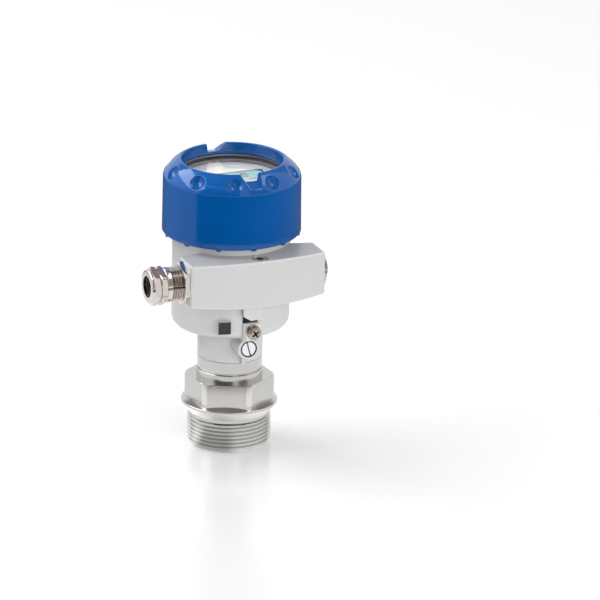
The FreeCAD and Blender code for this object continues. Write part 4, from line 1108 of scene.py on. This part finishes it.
    def lug_tree(self, material):
        """Tree that sets lugs evenly round the rim."""
        maker, given = node_tree("rim_lugs", {
            "Lugs": ("Int", 12), "Start": ("Float", 0.0), "Width": ("Float", 0.0026),
            "Drop": ("Float", 0.0008), "Ring": ("Float", 0.0396), "Rim": ("Float", 0.1281)})
        block = maker.add("GeometryNodeMeshCube", None, {
            "Size": maker.vector(given["Width"], given["Width"], given["Drop"] + self.LUG_ROOT)})["Mesh"]
        middle_r = given["Ring"] - given["Width"] / 2.0
        middle_z = given["Rim"] + (self.LUG_ROOT - given["Drop"]) / 2.0
        placed = maker.add("GeometryNodeTransform", None, {
            "Geometry": block, "Translation": maker.vector(middle_r, 0.0, middle_z)})
        line = maker.add("GeometryNodeMeshLine", None, {
            "Count": given["Lugs"], "Start Location": (0, 0, 0), "Offset": (0, 0, 0)})
        index = maker.add("GeometryNodeInputIndex")
        turn = given["Start"] - math.radians(90) + index * (2 * math.pi / given["Lugs"])
        spread = maker.add("GeometryNodeInstanceOnPoints", None, {
            "Points": line, "Instance": placed, "Rotation": maker.vector(0.0, 0.0, turn)})
        return close_tree(maker, spread, material)


class TRANSMITTER_OT_window(Operator):
    """Window glass with its ring, gasket, lip and bead"""
    bl_idname = "transmitter.window"
    bl_label = "Window"

    def execute(self, context):
        colours = settings().colours
        give(glass_finish(), "window_glass")
        give(moulding_finish("window_seal", colours.seal, roughness=0.4), "window_gasket")
        give(moulding_finish("window_ring", colours.window_ring, roughness=0.5), "window_ring")
        rubber = shared("rubber", rubber_finish)
        coat = shared("cap_coat", cap_finish)
        self.add_ring("window_seal_lip", LIP_OUTLINE, rubber, "black_rubber")
        self.add_ring("window_bead", BEAD_OUTLINE, coat, "blue_coated_aluminium")
        return {"FINISHED"}

    def add_ring(self, name, corners, material, slot):
        """A closed ring at the foot of the window's wall."""
        columns = 240
        rows = rings(outline(corners, arc_steps=4), even_angles(columns))
        new_piece(name, tidy_mesh(mesh_from(*skin(rows, True)), smooth_degrees=40), material, "cap")


class TRANSMITTER_OT_display(Operator):
    """Display with its face plate, keys and digits"""
    bl_idname = "transmitter.display"
    bl_label = "Display"

    # Segments of each digit, from a at the top clockwise to f, and g in the middle
    SEGMENTS = {"0": "abcdef", "1": "bc", "2": "abged", "3": "abgcd", "4": "fgbc", "5": "afgcd",
                "6": "afgecd", "7": "abc", "8": "abcdefg", "9": "abcdfg"}

    # Middle of the first digit in X and Y, and the step to the next one, in metres
    LARGE_START, LARGE_STEP = (-0.0094, 0.0020), 0.0058
    SMALL_START, SMALL_STEP = (0.0086, -0.0052), 0.0019

    # How far the segments lie above the display, in metres
    LIFT = 0.00012

    def execute(self, context):
        colours = settings().colours
        sizes = settings().display
        give(face_finish(), "display_face")
        give(screen_finish(), "lcd_panel")
        give(moulding_finish("display_moulding", colours.moulding, roughness=0.4), "display_body")
        give(moulding_finish("keys", colours.keys, roughness=0.4), "key_left", "key_middle", "key_right")
        ink = digit_finish()
        self.add_number("display_digits", "0248", self.LARGE_START, self.LARGE_STEP, sizes.digit_height,
                        sizes.stroke, ink)
        self.add_number("display_small_digits", "100", self.SMALL_START, self.SMALL_STEP,
                        sizes.small_digit_height, sizes.stroke * sizes.small_stroke, ink)
        return {"FINISHED"}

    def add_number(self, name, digits, start, step, height, stroke, ink):
        """A row of digits; start is the middle of the first one, and the next ones follow at a step."""
        points, turns = [], []
        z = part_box("lcd_panel")[1].z + self.LIFT
        for index, digit in enumerate(digits):
            self.add_digit(points, turns, digit, start[0] + index * step, start[1], height, z)
        data = mesh_from(points, [])
        turned = data.attributes.new("turn", "FLOAT", "POINT")
        turned.data.foreach_set("value", turns)
        made = grown(self.segment_tree(ink), data, {"Length": height / 2 - stroke / 4, "Width": stroke})
        new_piece(name, tidy_mesh(made, smooth_degrees=30), ink, "housing")

    def add_digit(self, points, turns, digit, x, y, height, z):
        """Centres and turns of the segments of one digit."""
        half = height / 4
        places = {"a": (0, 2, 0), "g": (0, 0, 0), "d": (0, -2, 0), "b": (1, 1, 1), "c": (1, -1, 1),
                  "e": (-1, -1, 1), "f": (-1, 1, 1)}
        for letter in self.SEGMENTS[digit]:
            across, up, upright = places[letter]
            points.append((x + across * half, y + up * half, z))
            turns.append(upright * math.radians(90))

    def segment_tree(self, material):
        """Tree that lays a pointed bar on every point."""
        maker, given = node_tree("segments", {"Length": ("Float", 0.003), "Width": ("Float", 0.0008)})
        bar = maker.add("GeometryNodeMeshCircle", {"fill_type": "NGON"},
                        {"Vertices": 6, "Radius": given["Width"] / 2.0})
        x, y, z = maker.split(maker.add("GeometryNodeInputPosition"))
        longer = x + x.math("SIGN") * ((given["Length"] - given["Width"]) / 2.0)
        bar = maker.add("GeometryNodeSetPosition", None,
                        {"Geometry": bar, "Position": maker.vector(longer, y, z)})
        turn = maker.add("GeometryNodeInputNamedAttribute", {"data_type": "FLOAT"}, {"Name": "turn"})
        spread = maker.add("GeometryNodeInstanceOnPoints", None, {
            "Points": given["Geometry"], "Instance": bar, "Rotation": maker.vector(0.0, 0.0, turn)})
        return close_tree(maker, spread, material)


class TRANSMITTER_OT_housing(Operator):
    """Cast housing with its screws, marker plate, earth terminal and wire notch"""
    bl_idname = "transmitter.housing"
    bl_label = "Housing"

    # Sizes of the dark prisms of painted shade in metres and turns in degrees; a level is how far a prism's
    # face lies in front of its screw's face
    SHADE_PRISM_DEPTH = 0.0008
    SLOT_WIDTH, SLOT_LEVEL, SLOT_TURN = 0.0004, -0.0008, 105
    GAP_OUTSIDE, GAP_INSIDE, GAP_LEVEL = 0.00070, -0.00012, 0.00018
    CROSS_LENGTH, CROSS_WIDTH, CROSS_LEVEL = 0.0045, 0.00106, -0.0005
    CROSS_TURNS = {"earth_cross_long": 35, "earth_cross_short": 125}
    SOCKET_RADIUS, SOCKET_LEVEL = 0.0022, -0.0009

    # Outline of the dark sheet of painted shade in the wire notch in X and Z, and its place in Y
    WIRE_NOTCH = [(-0.00555, 0.0829), (0.0029, 0.0829), (0.0029, 0.0924), (-0.00555, 0.0924)]
    WIRE_NOTCH_BACK = -0.03395

    def execute(self, context):
        colours = settings().colours
        give(casting_finish(), "housing")
        give(plated_finish("plated_steel", colours.plate, roughness=0.24), "earth_plate", "earth_guard")
        give(plated_finish("earth_steel", colours.earth, roughness=0.16), "earth_lock_washer", "earth_screw")
        give(shared("screw_steel", screw_finish), "lock_screw")
        give(zinc_finish(), "neck_set_screw")
        give(moulding_finish("marker", colours.dark, roughness=0.5), "marker_plate")
        # Dark prisms of painted shade in the screws' slots and sockets, the set screw's gap and the wire
        # notch
        self.add_painted_shade(moulding_finish("recess", colours.rubber, roughness=0.5))
        return {"FINISHED"}

    def add_painted_shade(self, dark):
        """Dark prisms of painted shade in the screws' slots and sockets, in the set screw's gap and in the
        wire notch.
        """
        face, head_r = self.front_of("neck_set_screw")
        slot = bar_outline(2 * head_r - self.SLOT_WIDTH, self.SLOT_WIDTH, math.radians(self.SLOT_TURN))
        self.add_shade_prism("set_screw_slot", [slot], self.SLOT_LEVEL, face, dark)
        turns = even_angles(48)
        gap = [self.circle(turns, head_r + reach) for reach in (self.GAP_OUTSIDE, self.GAP_INSIDE)]
        self.add_shade_prism("set_screw_gap", gap, self.GAP_LEVEL, face, dark)
        back = self.facing_front(self.WIRE_NOTCH_BACK, 0.0)
        self.add_shade_prism("wire_notch_back", [np.array(self.WIRE_NOTCH)], 0.0, back, dark)
        face, _ = self.front_of("earth_screw")
        for name, turn in self.CROSS_TURNS.items():
            arm = bar_outline(self.CROSS_LENGTH, self.CROSS_WIDTH, math.radians(turn))
            self.add_shade_prism(name, [arm], self.CROSS_LEVEL, face, dark)
        low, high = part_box("lock_screw")
        face = Matrix.Translation(((low.x + high.x) / 2, (low.y + high.y) / 2, high.z))
        socket = self.circle(even_angles(6) + math.radians(30), self.SOCKET_RADIUS)
        self.add_shade_prism("lock_screw_socket", [socket], self.SOCKET_LEVEL, face, dark)

    def facing_front(self, y, z):
        """A place on the middle plane whose own Z points to the front."""
        return Matrix.Translation((0, y, z)) @ Matrix.Rotation(math.radians(90), 4, "X")

    def front_of(self, node):
        """Place of the front face of a screw's node, and the radius of its head."""
        low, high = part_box(node)
        return self.facing_front(low.y, (low.z + high.z) / 2), (high.z - low.z) / 2

    def circle(self, angles, radius):
        """Points at some angles of a circle."""
        return np.stack([np.cos(angles), np.sin(angles)], axis=1) * radius

    def add_shade_prism(self, name, rims, level, place, material):
        """A dark prism of painted shade whose face lies at a level of a place; a second rim is its hole."""
        work = bmesh.new()
        tops, feet = ([[work.verts.new((x, y, height)) for x, y in rim] for rim in rims]
                      for height in (level, level - self.SHADE_PRISM_DEPTH))
        for loops in (tops, feet):
            if len(loops) == 1:
                work.faces.new(loops[0])
            else:
                self.bridge(work, *loops)
        for top, foot in zip(tops, feet):
            self.bridge(work, top, foot)
        data = bpy.data.meshes.new(name)
        work.to_mesh(data)
        work.free()
        data.transform(place)
        new_piece(name, tidy_mesh(data, smooth_degrees=30), material, "housing")

    def bridge(self, work, first, second):
        """Quads between two closed loops of vertices."""
        for index, vertex in enumerate(first):
            after = (index + 1) % len(first)
            work.faces.new((vertex, first[after], second[after], second[index]))


class TRANSMITTER_OT_gland(Operator):
    """Cable gland and the plug in the second entry"""
    bl_idname = "transmitter.gland"
    bl_label = "Gland and plug"

    # How far the hexagon's corners are cut back, and the drop of its bevels, in millimetres
    CORNER_CUT = 0.25
    BEVEL_DROP = 0.8

    def execute(self, context):
        nickel = nickel_finish()
        give(nickel, "gland_locknut", "gland_nut", "blind_plug")
        give(shared("rubber", rubber_finish), "gland_seal", "plug_seal")
        give(moulding_finish("clamp_ring", settings().colours.clamp, roughness=0.4), "gland_claw")
        self.add_body(nickel)
        return {"FINISHED"}

    def add_body(self, nickel):
        """Flange, hexagon and bore of the gland, with its entry thread."""
        sizes = settings().gland
        columns, steps = 180, 8
        angles = even_angles(columns)
        flats = sizes.flats / MM
        rim = hexagon_rim(angles, flats, sizes.hexagon_turn, flats / math.sqrt(3) - self.CORNER_CUT)
        cone_r = float(rim.max()) - self.BEVEL_DROP / BEVEL_RISE
        bevel = np.maximum(rim - cone_r, 0) * BEVEL_RISE
        flush = np.minimum(rim, cone_r)
        start, end = GLAND_FLANGE[-1][1], GLAND_INSIDE[0][1]
        hexagon = [(flush, start), (rim, start + bevel), (rim, end - bevel), (flush, end)]
        root_r = sizes.thread_root / MM
        thread_low, thread_high = GLAND_INSIDE[-1][1], GLAND_FLANGE[0][1]
        flange = outline([(root_r, thread_high), *GLAND_FLANGE], arc_steps=4)
        inside = outline([*GLAND_INSIDE, (root_r, thread_low)])
        rows = rings([*flange, *hexagon, *inside], angles)
        sleeve = thread_sleeve(
            columns, steps, sizes.thread_pitch, thread_low * MM, thread_high * MM, nickel,
            crest=sizes.thread_radius, root=sizes.thread_root, nose=sizes.thread_root, nose_rise=1.0,
            end=sizes.thread_root, end_rise=2.0, crest_share=0.18)
        data = tidy_mesh(joined([mesh_from(*skin(rows, False)), sleeve], "gland"), smooth_degrees=26)
        outwards = Vector((0, 0, 1)).rotation_difference(Vector((-1, 0, 0)))
        data.transform(Matrix.Translation(ENTRY_FACE) @ outwards.to_matrix().to_4x4())
        piece = new_piece("gland_shell", data, nickel, "housing")
        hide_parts("gland_body")


class TRANSMITTER_OT_inside(Operator):
    """Finishes of the pieces inside the housing"""
    bl_idname = "transmitter.inside"
    bl_label = "Inside"

    def execute(self, context):
        colours = settings().colours
        dark = moulding_finish("dark_moulding", colours.dark, roughness=0.4)
        lead = moulding_finish("lead", colours.lead, roughness=0.45)
        steel = shared("screw_steel", screw_finish)
        rubber = shared("rubber", rubber_finish)
        give(board_finish(), "sensor_board", "display_board", "main_board")
        give(dark, "electronics_cup", "terminal_block", "key_switches")
        give(steel, "cell_clamp_ring", "display_screws", "cup_screws", "terminal_screws")
        give(rubber, "cell_seal", "cap_seal")
        give(lead, "sensor_lead", "display_lead")
        return {"FINISHED"}


class TRANSMITTER_PT_panel(Panel):
    """Operators of the transmitter"""
    bl_idname = "TRANSMITTER_PT_panel"
    bl_label = "Pressure transmitter"
    bl_space_type = "VIEW_3D"
    bl_region_type = "UI"
    bl_category = "Transmitter"

    def draw(self, context):
        for operator in OPERATORS:
            self.layout.operator(operator.bl_idname)


GROUPS = (ConnectionSizes, CapSizes, GlandSizes, DisplaySizes, FinishColours, StageSettings,
          TransmitterSettings)
OPERATORS = (TRANSMITTER_OT_stage, TRANSMITTER_OT_connection, TRANSMITTER_OT_cap, TRANSMITTER_OT_window,
             TRANSMITTER_OT_display, TRANSMITTER_OT_housing, TRANSMITTER_OT_gland, TRANSMITTER_OT_inside)


def register():
    """Make the settings, the operators and the panel known."""
    for item in (*GROUPS, *OPERATORS, TRANSMITTER_PT_panel):
        bpy.utils.register_class(item)
    bpy.types.Scene.transmitter = PointerProperty(type=TransmitterSettings)


def unregister():
    """Take back what register made known."""
    del bpy.types.Scene.transmitter
    for item in reversed((*GROUPS, *OPERATORS, TRANSMITTER_PT_panel)):
        bpy.utils.unregister_class(item)


def main():
    """Build everything."""
    register()
    for operator in OPERATORS:
        group, name = operator.bl_idname.split(".")
        getattr(getattr(bpy.ops, group), name)()


if __name__ == "__main__":
    main()
